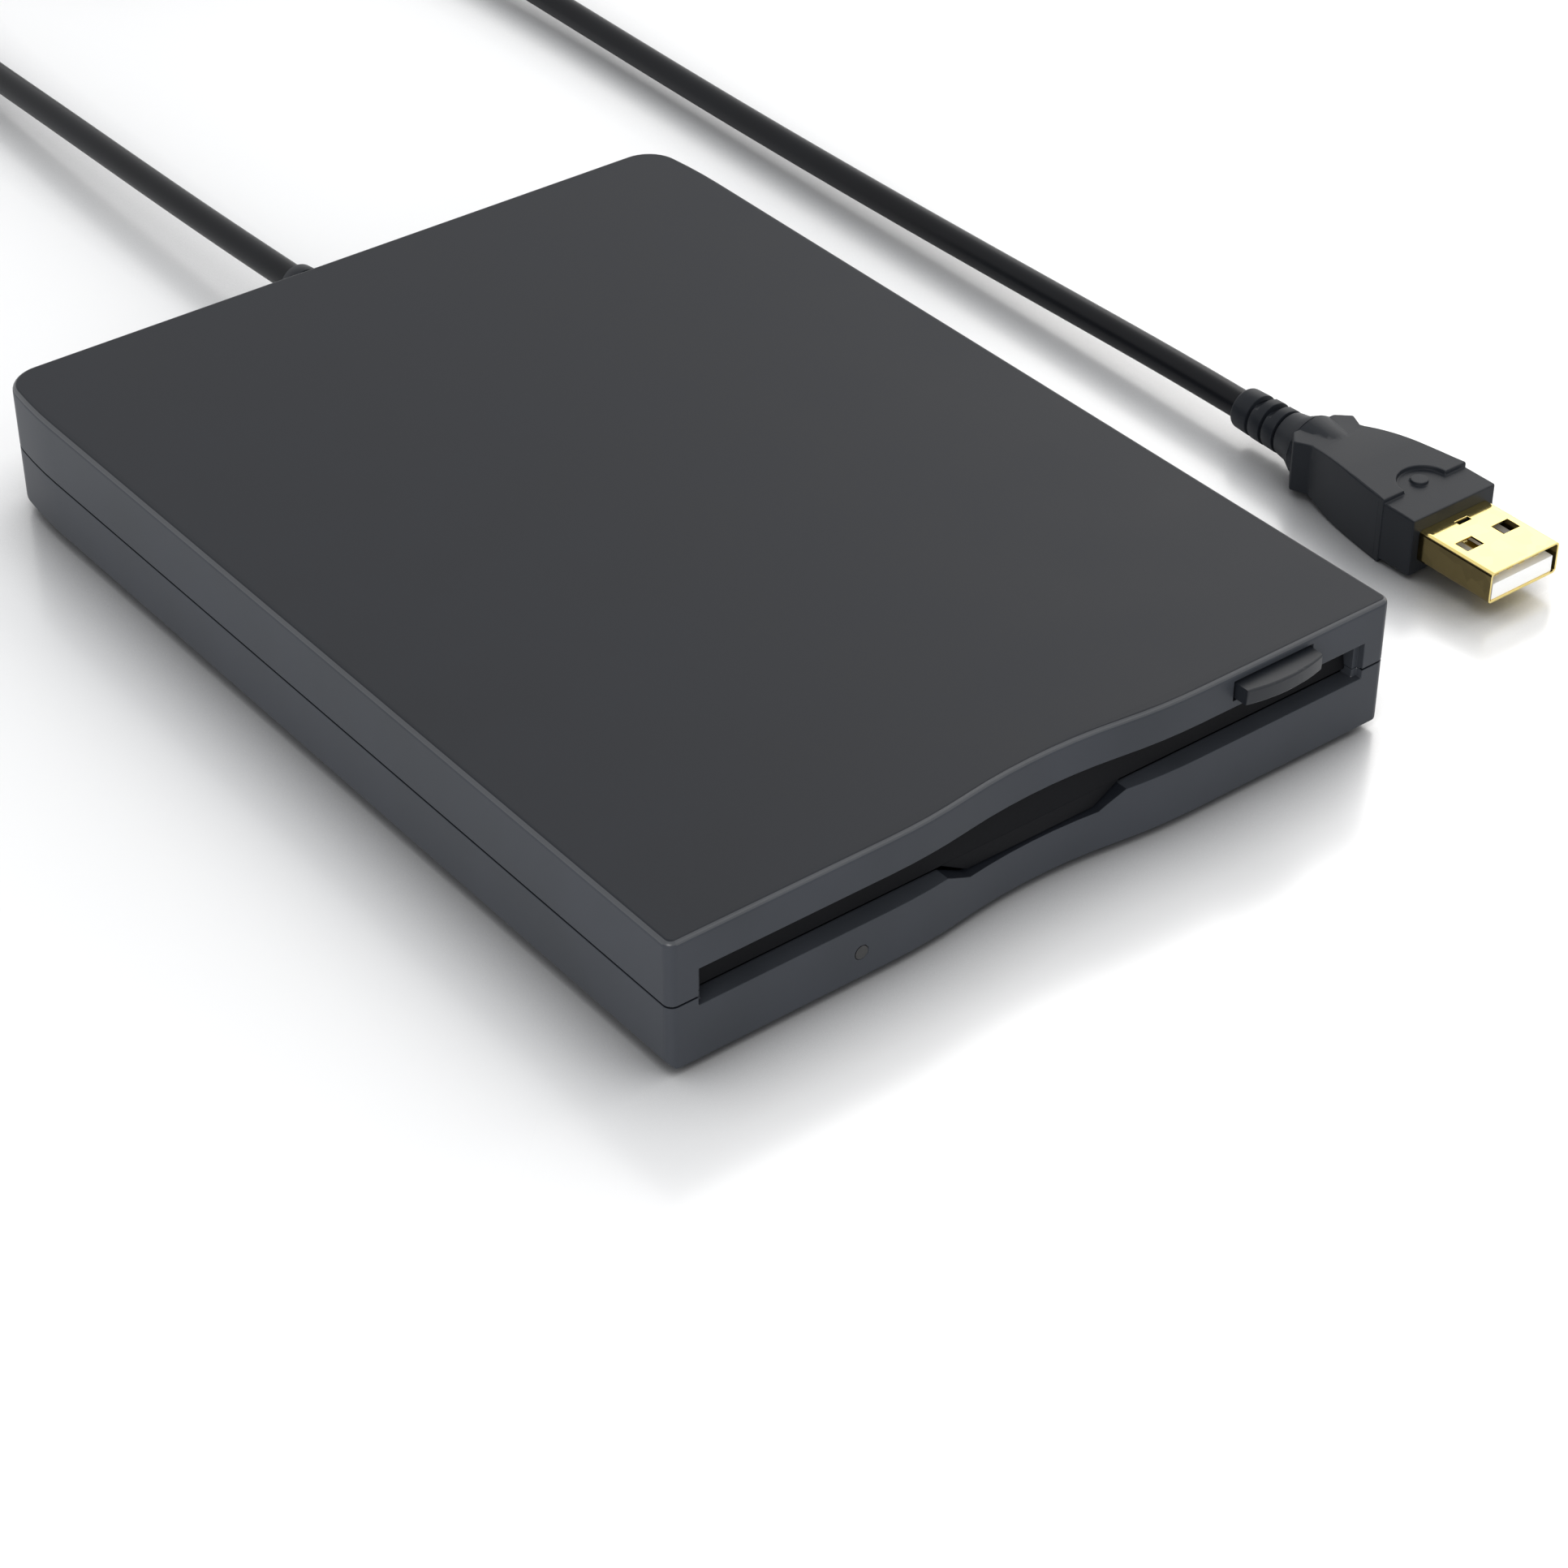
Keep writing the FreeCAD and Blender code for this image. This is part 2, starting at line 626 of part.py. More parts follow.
def build_door():
    """A flap on two pivot pins, with a tab that hangs into the thumb notch."""
    owner = body("FrontDoor")
    top_face = pivot_y - door_barrel
    section = outline(owner, "door_section", "YZ_Plane", -door_half, [
        (top_face, pivot_z), (door_face, door_low), (door_face + door_thick, door_low),
        (top_face + door_thick, pivot_z)])
    pad(owner, section, door_half * 2)
    tab = outline(owner, "door_tab", "XZ_Plane", -(door_face + door_thick), [
        (notch_at - notch_bottom + door_gap, notch_low + door_gap),
        (notch_at + notch_bottom - door_gap, notch_low + door_gap),
        (notch_at + notch_top - door_gap, door_low + 0.1),
        (notch_at - notch_top + door_gap, door_low + 0.1)])
    pad(owner, tab, door_thick)
    barrel = circles(owner, "door_barrel", "YZ_Plane", -door_half, [(pivot_y, pivot_z)],
                     door_barrel)
    pad(owner, barrel, door_half * 2)
    # The barrel stops under the button and thins down inside the spring's coil.
    under_button = (button_left - 1.0, button_left + button_wide + 1.0)
    relief = rectangle(owner, "button_relief", "XZ_Plane", -(pivot_y + 3.0),
                       under_button, (pivot_z, pivot_z + 3.0))
    pocket(owner, relief, 6.0, True)
    behind = rectangle(owner, "button_relief_behind", "XY_Plane", pivot_z - 1.5,
                       under_button, (pivot_y + 0.2, pivot_y + 3.0))
    pocket(owner, behind, 3.0, True)
    neck = rectangle(owner, "spring_gap", "XZ_Plane", -(pivot_y + 3.0),
                     (spring_left, spring_right), (pivot_z - 1.4, pivot_z + 3.0))
    pocket(owner, neck, 6.0, True)
    arbor = circles(owner, "spring_arbor", "YZ_Plane", spring_left - 0.1, [(pivot_y, pivot_z)],
                    0.5)
    pad(owner, arbor, spring_right - spring_left + 0.2)
    pins = circles(owner, "pivot_pins", "YZ_Plane", -(door_half + door_pin_length),
                   [(pivot_y, pivot_z)], door_pin)
    pad(owner, pins, door_pin_length + 1.0)
    far = circles(owner, "pivot_pin_far", "YZ_Plane", door_half - 1.0, [(pivot_y, pivot_z)],
                  door_pin)
    pad(owner, far, door_pin_length + 1.0)
    return keep(owner, "front_door")


def build_door_spring():
    """A torsion spring round the door's arbor: its coil, a leg up and a leg behind the flap."""
    at = (spring_left + 0.2, pivot_y, pivot_z)
    long = spring_right - spring_left - 0.4
    coil = rod("SpringCoil", "X", at, 0.95, long)
    bore = rod("SpringBore", "X", (spring_left, pivot_y, pivot_z), 0.62, long + 1.0)
    leg_x = spring_right - 0.5
    upper = box("SpringUpperLeg", (leg_x - 0.2, leg_x + 0.2), (pivot_y + 0.65, pivot_y + 0.93),
                (pivot_z, roof_under))
    lower = box("SpringLowerLeg", (spring_left + 0.3, spring_left + 0.7),
                (pivot_y + 0.65, pivot_y + 0.93), (pivot_z - 3.2, pivot_z))
    return keep(less("DoorSpring", joined("SpringBody", [coil, upper, lower]), [bore]),
                "door_spring")


# ---------------------------------------------------------------- loading

slider_low = chassis_high - 0.1 - 0.5
slider_high = slider_low + 0.5
slider_outer = carrier_half + 0.15 + carrier_metal
pin_rows = (-44.0, 10.0)
tab_low = slider_low


def build_button():
    """A cap with a bowed front on a flat shank that slides between the top shell's ribs."""
    owner = body("EjectButton")
    right = button_left + button_wide
    bow = (button_wide * button_wide / 4 + button_crown * button_crown) / (button_crown * 2)
    shoulder = front - (button_proud - button_crown)
    end = inner_front + eject_travel + 1.2
    corners = [(button_left, shoulder), (right, shoulder), (right, end), (button_left, end)]
    cap = outline(owner, "button_cap", "XY_Plane", button_low, corners, {0: (bow, 1)})
    pad(owner, cap, button_tall)
    doc.recompute()
    dress(owner, "Fillet", "button_rounds",
          lambda e: e.BoundBox.YMax < float(shoulder) + 0.01 or upright_at(e, button_left, shoulder)
          or upright_at(e, right, shoulder), 0.3)
    step = rectangle(owner, "button_step", "XY_Plane", roof_under - 0.2,
                     (button_left - 1.0, right + 1.0), (inner_front - 0.1, end + 1.0))
    pocket(owner, step, 2.0, True)
    stop = rectangle(owner, "button_stop", "XY_Plane", button_low + 0.1,
                     (button_left + 0.5, right - 0.5), (end - 0.1, end + 1.0))
    pad(owner, stop, roof_under - button_low - 0.4)
    slit = rectangle(owner, "button_slit", "XY_Plane", tab_low,
                     (button_left + 2.3, right - 2.3), (end - 3.0, end + 2.0))
    pocket(owner, slit, 0.5, True)
    return keep(owner, "eject_button")


def ramp(name, x, y, run, drop):
    """A slot for a carrier pin, from its place at rest along a ramp, cut on X."""
    reach = pin_radius + 0.08
    start = rod(name + "_start", "X", (x, y, pin_height), reach, 2.0)
    end = rod(name + "_end", "X", (x, as_size(y) + run, pin_height - drop), reach, 2.0)
    slope = doc.addObject("Part::Feature", name + "_run")
    length = math.hypot(float(run), float(drop))
    across = Vector(0, float(drop), float(run)) * (float(reach) / length)
    first = Vector(float(x), float(y), float(pin_height))
    last = first + Vector(0, float(run), -float(drop))
    loop = [first + across, last + across, last - across, first - across, first + across]
    slope.Shape = Part.Face(Part.makePolygon(loop)).extrude(Vector(2.0, 0, 0))
    return [start, end, slope]


def build_slider():
    """A bent plate over the carrier whose flanges hold the four ramps."""
    outer = slider_outer
    inner = outer - carrier_metal
    strip_in = as_size(38.5)
    rear_end = as_size(26.0)
    pieces = [box("SliderCross", (-outer, outer), (-52.0, -39.0), (slider_low, slider_high))]
    cuts = []
    for side in (-1, 1):
        word = "Left" if side < 0 else "Right"

        def span(a, b):
            return (a * side, b * side) if side > 0 else (b * side, a * side)

        pieces.append(box(f"Slider{word}Strip", span(strip_in, outer), (-40.0, rear_end),
                          (slider_low, slider_high)))
        for number, y in enumerate(pin_rows):
            pieces.append(box(f"Slider{word}Flange{number}", span(inner, outer),
                              (y - 3.0, y + 8.0), (pin_height - load_drop - 2.0, slider_high)))
            x = inner - 0.5 if side > 0 else -outer - 0.5
            cuts += ramp(f"Slider{word}Ramp{number}", x, y, eject_travel, load_drop)
        pieces.append(box(f"Slider{word}Arm", span(outer - 1.0, spring_x + 0.8),
                          (rear_end - 4.0, rear_end - 3.4), (slider_low, slider_high)))
        pieces.append(box(f"Slider{word}Hook", span(spring_x - 0.8, spring_x + 0.8),
                          (rear_end - 4.0, rear_end - 3.4), (spring_z - 1.0, slider_high)))
    right = button_left + button_wide
    button_end = inner_front + eject_travel + 1.2
    pieces.append(box("SliderTab", (button_left + 2.5, right - 2.5), (button_end - 2.8, -51.0),
                      (tab_low, tab_low + 0.5)))
    return keep(less("EjectSlider", joined("SliderSheet", pieces), cuts), "eject_slider")


spring_x = chassis_half + 1.5
spring_z = slider_low - 1.6
spring_front = as_size(-8.0)


def build_slider_springs():
    """Two closely wound extension springs beside the chassis, drawn as their outside."""
    end = as_size(26.0) - 4.0
    springs = [rod(f"SliderSpring{i}", "Y", (x, spring_front, spring_z), 0.9, end - spring_front)
               for i, x in enumerate((-spring_x, spring_x))]
    return keep(together("SliderSprings", springs), "slider_springs")


def build_carrier():
    """The holder that the diskette slides into: a folded sheet open at the front."""
    owner = body("DiskCarrier")
    rail = carrier_half - carrier_metal - 2.2
    inner = carrier_half - carrier_metal
    low = bay_low - 0.5
    high = bay_high + 0.5
    profile = outline(owner, "carrier_fold", "XZ_Plane", -(chassis_front), [
        (-carrier_half, low), (-rail, low), (-rail, bay_low), (-inner, bay_low),
        (-inner, bay_high), (inner, bay_high), (inner, bay_low), (rail, bay_low), (rail, low),
        (carrier_half, low), (carrier_half, high), (-carrier_half, high)])
    pad(owner, profile, disk_rear + 0.2 - chassis_front, True)
    head = rectangle(owner, "head_window", "XY_Plane", bay_high - 0.5,
                     (-9.0, 9.0), (3.0, disk_rear + 5.0))
    pocket(owner, head, 3.0, True)
    lever = rectangle(owner, "lever_window", "XY_Plane", bay_high - 0.5,
                      (-36.0, -14.5), (7.5, disk_rear + 5.0))
    pocket(owner, lever, 3.0, True)
    # Lightening windows with the round one over the hub.
    hub = circles(owner, "hub_window", "XY_Plane", bay_high - 0.5, [(0.0, spindle_y)], 14.0)
    pocket(owner, hub, 3.0, True)
    for side in (-1, 1):
        across = (20.0, 36.0) if side > 0 else (-36.0, -20.0)
        window = rectangle(owner, f"carrier_window_{'right' if side > 0 else 'left'}", "XY_Plane",
                           bay_high - 0.5, across, (-36.0, -2.0))
        pocket(owner, window, 3.0, True)
    keep(owner, "disk_carrier")
    pins = []
    for number, y in enumerate(pin_rows):
        long = chassis_half - carrier_half
        pins.append(rod(f"RightPin{number}", "X", (carrier_half, y, pin_height), pin_radius, long))
        pins.append(rod(f"LeftPin{number}", "X", (-carrier_half - long, y, pin_height), pin_radius,
                        long))
    return keep(together("CarrierPins", pins), "carrier_pins")


# ---------------------------------------------------------------- the drive's frame

board_low = as_size(3.4)
board_thick = as_size(0.8)
board_top = board_low + board_thick
switches_at = {"write_protect": (34.0, -47.0), "density": (-34.0, -47.0), "disk_in": (-27.0, -47.0)}
switch_half = as_size(2.0)
chip_at = (-24.0, 38.0)
chip_half = as_size(6.0)
ribbon_x = (-35.0, -19.0)
rod_x = as_size(-10.0)
rod_z = as_size(7.6)
rod_radius = as_size(1.5)
side_rod_x = as_size(11.0)
side_rod_radius = as_size(1.0)
carriage_front = disk_rear + 16.0
screw_x = as_size(20.0)
screw_z = as_size(9.7)
lead_radius = as_size(1.5)
bracket_y = disk_rear + 0.4


def build_chassis():
    """The folded steel tray that carries the mechanism."""
    owner = body("Chassis")
    inner = chassis_half - sheet_metal
    fold = outline(owner, "chassis_fold", "XZ_Plane", -chassis_front, [
        (-chassis_half, chassis_low), (chassis_half, chassis_low), (chassis_half, chassis_high),
        (inner, chassis_high), (inner, chassis_top), (-inner, chassis_top),
        (-inner, chassis_high), (-chassis_half, chassis_high)])
    pad(owner, fold, chassis_long, True)
    # Bent-up brackets for the guide rods and the end of the lead screw.
    for number, y in enumerate((bracket_y, chassis_rear - 0.6)):
        main = rectangle(owner, f"rod_bracket_{number}", "XY_Plane", chassis_low,
                         (rod_x - 2.6, rod_x + 2.6), (y, y + 0.6))
        pad(owner, main, rod_z + 2.4 - chassis_low)
        other = rectangle(owner, f"side_bracket_{number}", "XY_Plane", chassis_low,
                          (side_rod_x - 2.2, side_rod_x + 2.2), (y, y + 0.6))
        pad(owner, other, rod_z + 2.0 - chassis_low)
    screw = rectangle(owner, "screw_bracket", "XY_Plane", chassis_low,
                      (screw_x - 2.4, screw_x + 2.4), (bracket_y, bracket_y + 0.6))
    pad(owner, screw, screw_z + 1.5 - chassis_low)
    # Lugs that the slider springs pull on.
    for side in (-1, 1):
        far = (spring_x + 0.8) * side
        near = (chassis_half - 0.3) * side
        across = (far, near) if side < 0 else (near, far)
        lug = rectangle(owner, f"spring_lug_{'left' if side < 0 else 'right'}", "XY_Plane",
                        spring_z - 1.0, across, (spring_front - 0.6, spring_front))
        pad(owner, lug, 2.0)
    reach = chassis_half * 2
    for number, y in enumerate(pin_rows):
        pin_slots(owner, as_size(y), number)
    arm = rectangle(owner, "arm_slot", "YZ_Plane", -chassis_half - 1.0,
                    (26.0 - 4.0 - eject_travel - 0.4, as_size(26.0) - 3.0),
                    (slider_low - 0.3, chassis_high + 1.0))
    pocket(owner, arm, reach + 2.0, True)
    well = circles(owner, "spindle_well", "XY_Plane", chassis_low - 1.0, [(0.0, spindle_y)],
                   rotor_radius + 1.2)
    pocket(owner, well, 3.0, True)
    holes = circles(owner, "chassis_holes", "XY_Plane", chassis_low - 1.0, chassis_screws_at,
                    screw_shank + 0.2)
    pocket(owner, holes, 2.5, True)
    for name, (x, y) in switches_at.items():
        hole = rectangle(owner, f"{name}_window", "XY_Plane", chassis_low - 1.0,
                         (x - switch_half - 0.2, x + switch_half + 0.2),
                         (y - switch_half - 0.2, y + switch_half + 0.2))
        pocket(owner, hole, 3.0, True)
    x, y = chip_at
    chip = rectangle(owner, "chip_window", "XY_Plane", chassis_low - 1.0,
                     (x - chip_half - 1.5, x + chip_half + 1.5),
                     (y - chip_half - 1.5, y + chip_half + 1.5))
    pocket(owner, chip, 3.0, True)
    ribbon = rectangle(owner, "ribbon_notch", "XY_Plane", chassis_low - 1.0,
                       (ribbon_x[0] - 1.2, ribbon_x[1] + 1.2), (50.5, chassis_rear + 1.0))
    pocket(owner, ribbon, 3.0, True)
    bores = circles(owner, "rod_bores", "XZ_Plane", -(bracket_y - 1.0),
                    [(rod_x, rod_z)], rod_radius)
    pocket(owner, bores, chassis_long, False)
    side = circles(owner, "side_bores", "XZ_Plane", -(bracket_y - 1.0),
                   [(side_rod_x, rod_z)], side_rod_radius)
    pocket(owner, side, chassis_long, False)
    lead = circles(owner, "lead_bore", "XZ_Plane", -(bracket_y - 1.0), [(screw_x, screw_z)], 0.85)
    pocket(owner, lead, chassis_long, False)
    return keep(owner, "chassis")


def pin_slots(owner, y, number):
    """The upright slot in the chassis walls that lets a carrier pin go up and down."""
    reach = pin_radius + 0.08
    low = pin_height - load_drop
    long = chassis_half * 2
    middle = rectangle(owner, f"pin_slot_{number}", "YZ_Plane", -chassis_half,
                       (y - reach, y + reach), (low, pin_height))
    pocket(owner, middle, long, True)
    ends = circles(owner, f"pin_slot_ends_{number}", "YZ_Plane", -chassis_half,
                   [(y, low), (y, pin_height)], reach)
    pocket(owner, ends, long, True)


def build_cover():
    """The sheet lid of the mechanism, with four tabs that clip over the chassis walls."""
    high = chassis_high + cover_metal
    pieces = [box("CoverSheet", (-chassis_half, chassis_half), (chassis_front, chassis_rear),
                  (chassis_high, high))]
    for side in (-1, 1):
        for number, y in enumerate((-34.0, 38.0)):
            near, far = chassis_half * side, (chassis_half + cover_metal) * side
            across = (far, near) if side < 0 else (near, far)
            name = f"CoverTab{'Left' if side < 0 else 'Right'}{number}"
            pieces.append(box(name, across, (y, y + 9.0), (chassis_high - 2.5, high)))
    return keep(joined("ChassisCover", pieces), "chassis_cover")


def build_chassis_screws():
    screws = [tapped(f"ChassisScrew{i}", (x, y, chassis_top), screw_shank, 3.0, screw_head, 0.9,
                     False) for i, (x, y) in enumerate(chassis_screws_at)]
    return keep(together("ChassisScrews", screws), "chassis_screws")


def build_seat_pins():
    """Four pins that the loaded diskette rests on."""
    pins = [stub(f"SeatPin{i}", (x, y, chassis_top), 1.2, seat_z - chassis_top)
            for i, (x, y) in enumerate([(-38.0, -38.0), (38.0, -38.0), (-38.0, 18.0),
                                        (38.0, 18.0)])]
    return keep(together("SeatPins", pins), "disk_seat_pins")


# ---------------------------------------------------------------- spindle

rotor_radius = as_size(20.0)
rotor_low = chassis_top + 0.7
hub_top = seat_z + 0.4


def build_spindle():
    board = rod("StatorDisc", "Z", (0.0, spindle_y, chassis_low - 0.5), rotor_radius + 3.5, 0.5)
    hole = rod("StatorHole", "Z", (0.0, spindle_y, chassis_low - 1.0), 4.0, 3.0)
    coils = []
    count = 9
    for number in range(count):
        turn = 2 * math.pi * number / count
        place = (13.5 * math.cos(turn), spindle_y + 13.5 * math.sin(turn), chassis_low)
        coils.append(stub(f"Coil{number}", place, 3.9, 0.9))
    keep(less("Stator", joined("StatorSet", [board] + coils), [hole]), "spindle_stator")
    housing = rod("BearingHousing", "Z", (0.0, spindle_y, chassis_low - 0.5), 4.0,
                  rotor_low - 0.3 - chassis_low + 0.5)
    bore = rod("BearingBore", "Z", (0.0, spindle_y, chassis_low - 0.3), 1.55, 4.0)
    keep(less("Bearing", housing, [bore]), "spindle_bearing")
    disc = rod("RotorDisc", "Z", (0.0, spindle_y, rotor_low), rotor_radius, 0.6)
    rim = rod("RotorRim", "Z", (0.0, spindle_y, chassis_low + 0.2), rotor_radius,
              rotor_low - chassis_low - 0.2)
    rim_bore = rod("RotorRimBore", "Z", (0.0, spindle_y, chassis_low - 1.0), rotor_radius - 0.8,
                   rotor_low - chassis_low + 1.0)
    rotor = less("RotorCup", joined("RotorSolid", [disc, rim]), [rim_bore])
    shaft = rod("SpindleShaft", "Z", (0.0, spindle_y, chassis_low), 1.5,
                rotor_low - chassis_low + 0.2)
    keep(joined("Rotor", [rotor, shaft]), "spindle_rotor")
    top = rotor_low + 0.6
    table = rod("HubTable", "Z", (0.0, spindle_y, top), 11.0, hub_top - top)
    pin = rod("HubPin", "Z", (0.0, spindle_y, top), 1.95, bay_low - 0.3 - top)
    drive = rod("DrivePin", "Z", (4.0, spindle_y + 3.0, top), 1.0, bay_low - 0.6 - top)
    return keep(joined("Hub", [table, pin, drive]), "spindle_hub")


# ---------------------------------------------------------------- heads

head_y = disk_rear - 6.5
arm_pivot_y = carriage_front + 7.0
arm_pivot_z = as_size(11.0)
media_z = seat_z + disk_thick / 2
arm_low = seat_z + disk_thick + 0.2
arm_high = arm_low + 0.6
head_lift = bay_low + disk_thick + 0.25 - (media_z + 0.1)
arm_reach = arm_pivot_y - head_y
arm_angle = math.degrees(math.asin(float(head_lift) / float(arm_reach)))


def build_carriage():
    """The block that slides on the two rods, with the lower head on its tongue."""
    owner = body("HeadCarriage")
    low = chassis_top + 0.4
    high = rod_z + 2.6
    block = rectangle(owner, "carriage_block", "XY_Plane", low,
                      (rod_x - 3.0, side_rod_x + 2.0), (carriage_front, carriage_front + 11.6))
    pad(owner, block, high - low)
    tongue = rectangle(owner, "carriage_tongue", "XY_Plane", low, (-4.0, 4.0),
                       (head_y - 3.4, carriage_front + 1.0))
    pad(owner, tongue, 0.9)
    for side in (-1, 1):
        across = (5.3, 6.7) if side > 0 else (-6.7, -5.3)
        ear = rectangle(owner, f"arm_ear_{'right' if side > 0 else 'left'}", "XY_Plane",
                        high - 0.5, across, (arm_pivot_y - 1.8, arm_pivot_y + 1.8))
        pad(owner, ear, arm_pivot_z + 1.5 - high + 0.5)
    finger = rectangle(owner, "screw_finger", "XY_Plane", screw_z - 0.5,
                       (side_rod_x, screw_x - lead_radius - 0.05),
                       (carriage_front + 0.3, carriage_front + 1.5))
    pad(owner, finger, 1.0)
    neck = rectangle(owner, "finger_neck", "XY_Plane", low,
                     (side_rod_x, side_rod_x + 2.0), (carriage_front, carriage_front + 3.0))
    pad(owner, neck, screw_z + 0.5 - low)
    flag = rectangle(owner, "track_flag", "XY_Plane", rod_z - 0.2,
                     (rod_x - 7.5, rod_x - 2.0), (carriage_front + 1.8, carriage_front + 4.6))
    pad(owner, flag, 0.5)
    main = circles(owner, "carriage_bore", "XZ_Plane", -(carriage_front - 1.0),
                   [(rod_x, rod_z)], rod_radius + 0.05)
    pocket(owner, main, 20.0, False)
    side = circles(owner, "carriage_side_bore", "XZ_Plane", -(carriage_front - 1.0),
                   [(side_rod_x - 0.2, rod_z)], side_rod_radius + 0.06 + 0.2)
    pocket(owner, side, 20.0, False)
    pivot = circles(owner, "arm_bores", "YZ_Plane", -10.0, [(arm_pivot_y, arm_pivot_z)], 0.76)
    pocket(owner, pivot, 20.0, True)
    saddle = rectangle(owner, "arm_saddle", "XY_Plane", arm_low - 1.2,
                       (-5.3, 5.3), (carriage_front - 1.0, carriage_front + 20.0))
    pocket(owner, saddle, 6.0, True)
    keep(owner, "head_carriage")
    lower = box("LowerHead", (-2.0, 2.0), (head_y - 2.0, head_y + 2.0),
                (low + 0.9, media_z - 0.1))
    return keep(lower, "lower_head")


def build_upper_arm():
    """The arm over the diskette, drawn level and then tipped up to where it rests."""
    plate = box("ArmPlate", (-5.0, 5.0), (head_y - 3.0, arm_pivot_y + 1.0), (arm_low, arm_high))
    knuckle = rod("ArmKnuckle", "X", (-5.0, arm_pivot_y, arm_pivot_z), 1.1, 10.0)
    pin = rod("ArmPin", "X", (-6.7, arm_pivot_y, arm_pivot_z), 0.7, 13.4)
    window = box("ArmWindow", (-2.6, 2.6), (head_y + 5.0, arm_pivot_y - 5.0), (arm_low - 1, arm_high + 1))
    arm = less("ArmSheet", joined("ArmSolid", [plate, knuckle, pin]), [window])
    head = box("UpperHeadBlock", (-2.0, 2.0), (head_y - 2.0, head_y + 2.0),
               (media_z + 0.1, arm_low))
    spring = box("ArmSpringLeaf", (-1.5, 1.5), (head_y + 2.3, head_y + 5.3), (arm_high, arm_high + 0.25))
    pivot = Vector(0, float(arm_pivot_y), float(arm_pivot_z))
    tip = FreeCAD.Placement(Vector(), FreeCAD.Rotation(Vector(1, 0, 0), -arm_angle), pivot)
    for thing, label in ((arm, "upper_head_arm"), (head, "upper_head"), (spring, "gimbal_spring")):
        moved = doc.addObject("Part::Feature", label + "_tipped")
        doc.recompute()
        moved.Shape = thing.Shape
        moved.Placement = tip.multiply(moved.Placement)
        keep(moved, label)


def build_rods():
    long = chassis_rear - bracket_y
    main = rod("MainRod", "Y", (rod_x, bracket_y, rod_z), rod_radius, long)
    side = rod("SideRod", "Y", (side_rod_x, bracket_y, rod_z), side_rod_radius, long)
    return keep(together("GuideRods", [main, side]), "guide_rods")


stepper_y = carriage_front + 2.6
stepper_long = chassis_rear - stepper_y - 0.5


def build_stepper():
    can = rod("StepperCan", "Y", (screw_x, stepper_y, screw_z), 4.1, stepper_long)
    foot = box("StepperFoot", (screw_x - 4.1, screw_x + 4.1), (stepper_y, stepper_y + 1.0),
               (chassis_top, screw_z))
    rear_foot = box("StepperRearFoot", (screw_x - 4.1, screw_x + 4.1),
                    (stepper_y + stepper_long - 1.0, stepper_y + stepper_long),
                    (chassis_top, screw_z))
    bore = rod("StepperBore", "Y", (screw_x, stepper_y - 1.0, screw_z), 0.9, 6.0)
    keep(less("Stepper", joined("StepperSolid", [can, foot, rear_foot]), [bore]), "stepper_motor")
    screw = rod("LeadThread", "Y", (screw_x, bracket_y + 0.9, screw_z), lead_radius,
                stepper_y - bracket_y - 1.2)
    shaft = rod("LeadShaft", "Y", (screw_x, bracket_y, screw_z), 0.8,
                stepper_y - bracket_y + 4.0)
    return keep(joined("LeadScrew", [screw, shaft]), "lead_screw")


def build_track_sensor():
    x0, x1 = rod_x - 9.0, rod_x - 4.5
    y0, y1 = carriage_front + 0.6, carriage_front + 5.6
    solid = box("SensorBlock", (x0, x1), (y0, y1), (chassis_top, rod_z + 2.2))
    gap = box("SensorGap", (x0 + 1.0, x1 + 1.0), (y0 - 1.0, y1 + 1.0), (rod_z - 0.7, rod_z + 0.8))
    return keep(less("TrackSensor", solid, [gap]), "track_zero_sensor")


# ---------------------------------------------------------------- shutter lever

lever_x = as_size(-40.0)
lever_y = disk_rear + 4.5
lever_reach = 24.0
lever_rest = -72.0
lever_low = bay_high + 0.5 + 0.2


def build_lever():
    """The swinging lever whose pin pushes the diskette's shutter aside."""
    angle = math.radians(lever_rest)
    along = Vector(math.cos(angle), math.sin(angle), 0)
    pivot = Vector(float(lever_x), float(lever_y), 0)
    tip = pivot + along * lever_reach
    arm = doc.addObject("Part::Feature", "LeverArm")
    across = Vector(-along.y, along.x, 0)
    loop = [pivot + across * 3.0, pivot - across * 3.0, tip - across * 1.8, tip + across * 1.8,
            pivot + across * 3.0]
    flat = Part.Face(Part.makePolygon([p + Vector(0, 0, float(lever_low)) for p in loop]))
    arm.Shape = flat.extrude(Vector(0, 0, 0.5))
    ring = rod("LeverRing", "Z", (lever_x, lever_y, lever_low), 3.0, 0.5)
    end = rod("LeverEnd", "Z", (tip.x, tip.y, lever_low), 1.8, 0.5)
    pin = rod("LeverPin", "Z", (tip.x, tip.y, bay_low + 0.4), 1.2, lever_low - bay_low - 0.3)
    hole = rod("LeverHole", "Z", (lever_x, lever_y, lever_low - 1.0), 1.06, 3.0)
    keep(less("Lever", joined("LeverSolid", [arm, ring, end, pin]), [hole]), "shutter_lever")
    post = rod("LeverPost", "Z", (lever_x, lever_y, chassis_top), 2.0, lever_low - 0.1 - chassis_top)
    stud = rod("LeverStud", "Z", (lever_x, lever_y, chassis_top), 1.0,
               chassis_high - chassis_top - 0.2)
    keep(joined("LeverPivot", [post, stud]), "lever_post")
    coil = rod("LeverCoil", "Z", (lever_x, lever_y, lever_low - 3.0), 2.9, 2.6)
    bore = rod("LeverCoilBore", "Z", (lever_x, lever_y, lever_low - 4.0), 2.0, 5.0)
    leg = box("LeverLeg", (-46.2, lever_x), (lever_y + 2.2, lever_y + 2.8),
              (lever_low - 2.0, lever_low - 1.5))
    return keep(less("LeverSpring", joined("LeverSpringSolid", [coil, leg]), [bore]), "lever_spring")


